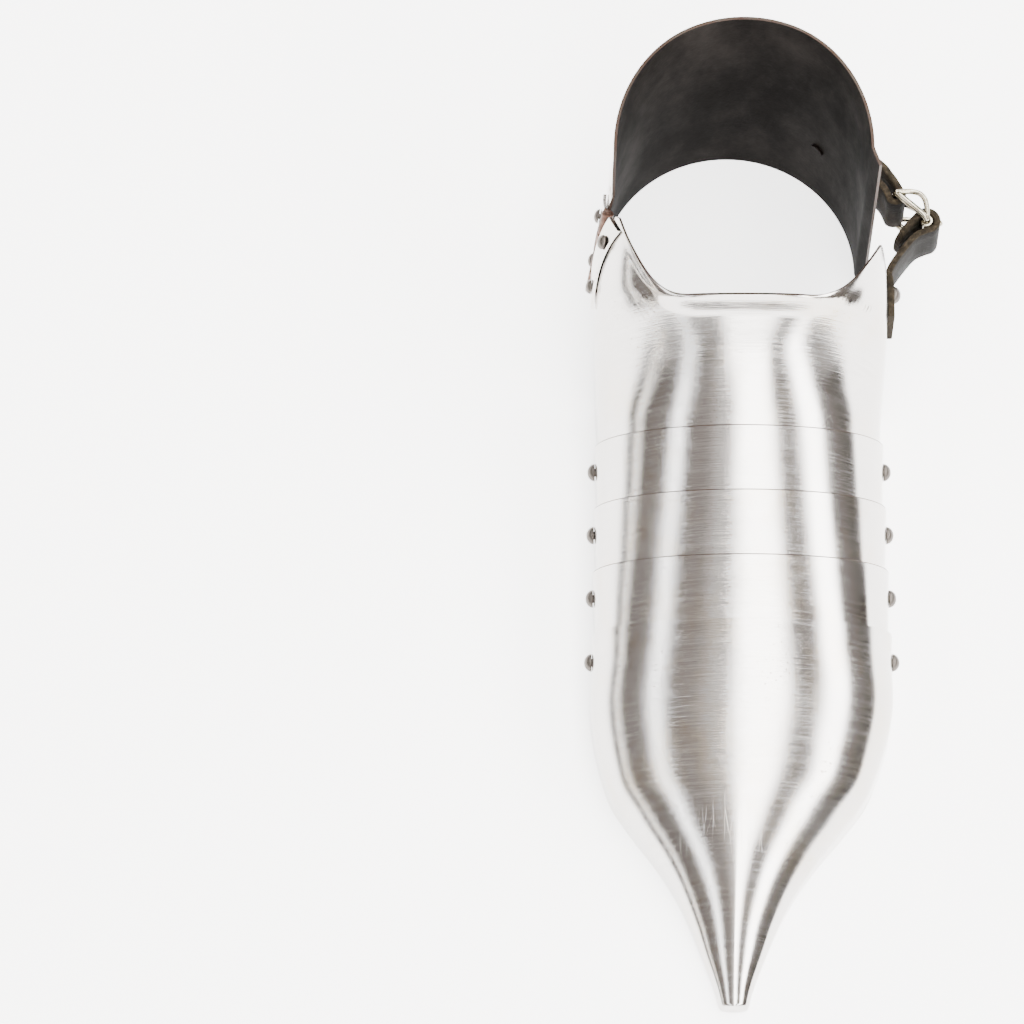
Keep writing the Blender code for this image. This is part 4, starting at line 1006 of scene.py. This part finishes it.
front_place = Vector((wall_x + half_t, STRAP_RIVET_Y, STRAP_Z)), Vector((1.0, 0.0, 0.0))
set_rivets("strap_rivet_instep", [front_place], ("strap_rivet_front",), "rear_assembly",
           stack=STRAP_THICKNESS + 2.0 * SEAT_GAP + SHEET)
rivet_way = Vector((math.cos(HEEL_RIVET_ANGLE), math.sin(HEEL_RIVET_ANGLE), 0.0))
set_rivets("strap_rivet_back", [(heel_middle + rivet_way * (seat_r + half_t) + strap_level, rivet_way)],
           ("strap_rivet_heel",), "rear_assembly", stack=STRAP_THICKNESS + SEAT_GAP + SHEET)


# Buckle: bent from nickelled wire, its two sides bowed outwards, with a turning roller on the outer bar
# and a wire prong bent round the inner bar that reaches over the roller.
BOW_R, BOW_DEPTH, BUCKLE_HEIGHT, ROLLER_LENGTH, PRONG_R, PRONG_TIP = 1.1, 6.0, 27.0, 22.0, 1.1, 2.5


def nickel():
    finish, tree = new_finish("buckle_nickel_worn")
    wear = cloudy(tree, 320.0, 5.0, 0.65)
    colour = graded(tree, wear, (0.48, (0.36, 0.335, 0.265)), (0.70, (0.12, 0.095, 0.055)))
    bump = raised(tree, wear, 0.2, 0.0002)
    return finished(finish, colour, ranged(tree, wear, 0.08, 0.22), bump, metallic=1.0)


def wire(points, radius, facing, closed=False, sides=16):
    """Round wire along points in one plane, with the plane's normal given."""
    facing = Vector(facing).normalized()
    count = len(points)
    rows = []
    for i, point in enumerate(points):
        before = points[(i - 1) % count] if closed or i else point
        after = points[(i + 1) % count] if closed or i < count - 1 else point
        side = facing.cross((after - before).normalized()).normalized()
        rows.append([point + (side * math.cos(a) + facing * math.sin(a)) * radius
                     for a in (2.0 * math.pi * k / sides for k in range(sides))])
    if closed:
        return ring_shell(rows)
    ends = (points[0], points[1], rows[0]), (points[-1], points[-2], rows[-1])
    first, last = ([tip + (p - tip) * 0.55 + (tip - inner).normalized() * 0.35 for p in ring]
                   for tip, inner, ring in ends)
    return capped_shell([first] + rows + [last])


def rounded_loop(corners, radius, steps=5):
    """A closed loop through corners, each turned on a small arc."""
    loop = []
    for i, corner in enumerate(corners):
        to_last = (corners[i - 1] - corner).normalized()
        to_next = (corners[(i + 1) % len(corners)] - corner).normalized()
        start, end = corner + to_last * radius, corner + to_next * radius
        for s in range(steps + 1):
            t = s / steps
            loop.append(start * (1 - t) ** 2 + corner * (2 * t * (1 - t)) + end * t ** 2)
    return loop


low, high = (Vector((0.0, 0.0, STRAP_Z + 0.5 * side * BUCKLE_HEIGHT)) for side in (-1, 1))
corners = [BAR + low, BAR + high, roller_middle + high, roller_middle + low]
wires = [wire(rounded_loop(corners, 2.2), WIRE_R, away, closed=True)]
shares = [i / 20 for i in range(21)]
for level in (high, low):
    arc = [BAR + level + along * BUCKLE_REACH * s + away * BOW_DEPTH * math.sin(math.pi * s) for s in shares]
    wires.append(wire(arc, BOW_R, (0, 0, 1)))
nickel_worn = nickel()
buckle_frame = solid_piece("buckle_frame_wire", wires, nickel_worn)
bore, soft, half_roller = WIRE_R + 0.2, 0.35, 0.5 * ROLLER_LENGTH
roller_profile = [(-half_roller, bore), (-half_roller, ROLLER_R - soft), (-half_roller + soft, ROLLER_R),
                  (half_roller - soft, ROLLER_R), (half_roller, ROLLER_R - soft), (half_roller, bore)]
roller_tube = ring_shell(turned(roller_middle + strap_level, (0, 0, 1), roller_profile))
roller = solid_piece("buckle_roller_tube", [roller_tube], nickel_worn)
clear = ROLLER_R + 2.0 * SEAT_GAP + STRAP_THICKNESS + PRONG_R
prong_run = wrapped(BAR, WIRE_R + SEAT_GAP + PRONG_R, -along, away, -120.0, 90.0, 18)
prong_run += [roller_middle + along * ahead + away * (clear - drop) for ahead, drop in (
    (-7.2, 1.4), (-3.6, 0.0), (PRONG_TIP * 0.6, 0.0), (PRONG_TIP, 0.4))]
prong_wire = wire([p + strap_level for p in prong_run], PRONG_R, (0, 0, 1))
prong = solid_piece("buckle_prong_wire", [prong_wire], nickel_worn)
for piece, node in ((buckle_frame, "buckle_frame"), (roller, "buckle_roller"), (prong, "buckle_prong")):
    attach(piece, "rear_assembly")
    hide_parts(node)


# The camera stands where the photograph was taken from: high in front of the toe, looking down at the
# foot, with the sabaton in the right half of the frame as the one of the pair that is built.
lens = bpy.data.cameras.new("portrait")
lens.lens, lens.sensor_width, lens.clip_end = 228.5, 36.0, 50.0
portrait = linked("portrait", lens)
portrait.location = (-0.1005, -0.9475, 2.4107)
portrait.rotation_euler = (math.radians(22.0), 0.0, 0.0)
bpy.context.scene.camera = portrait
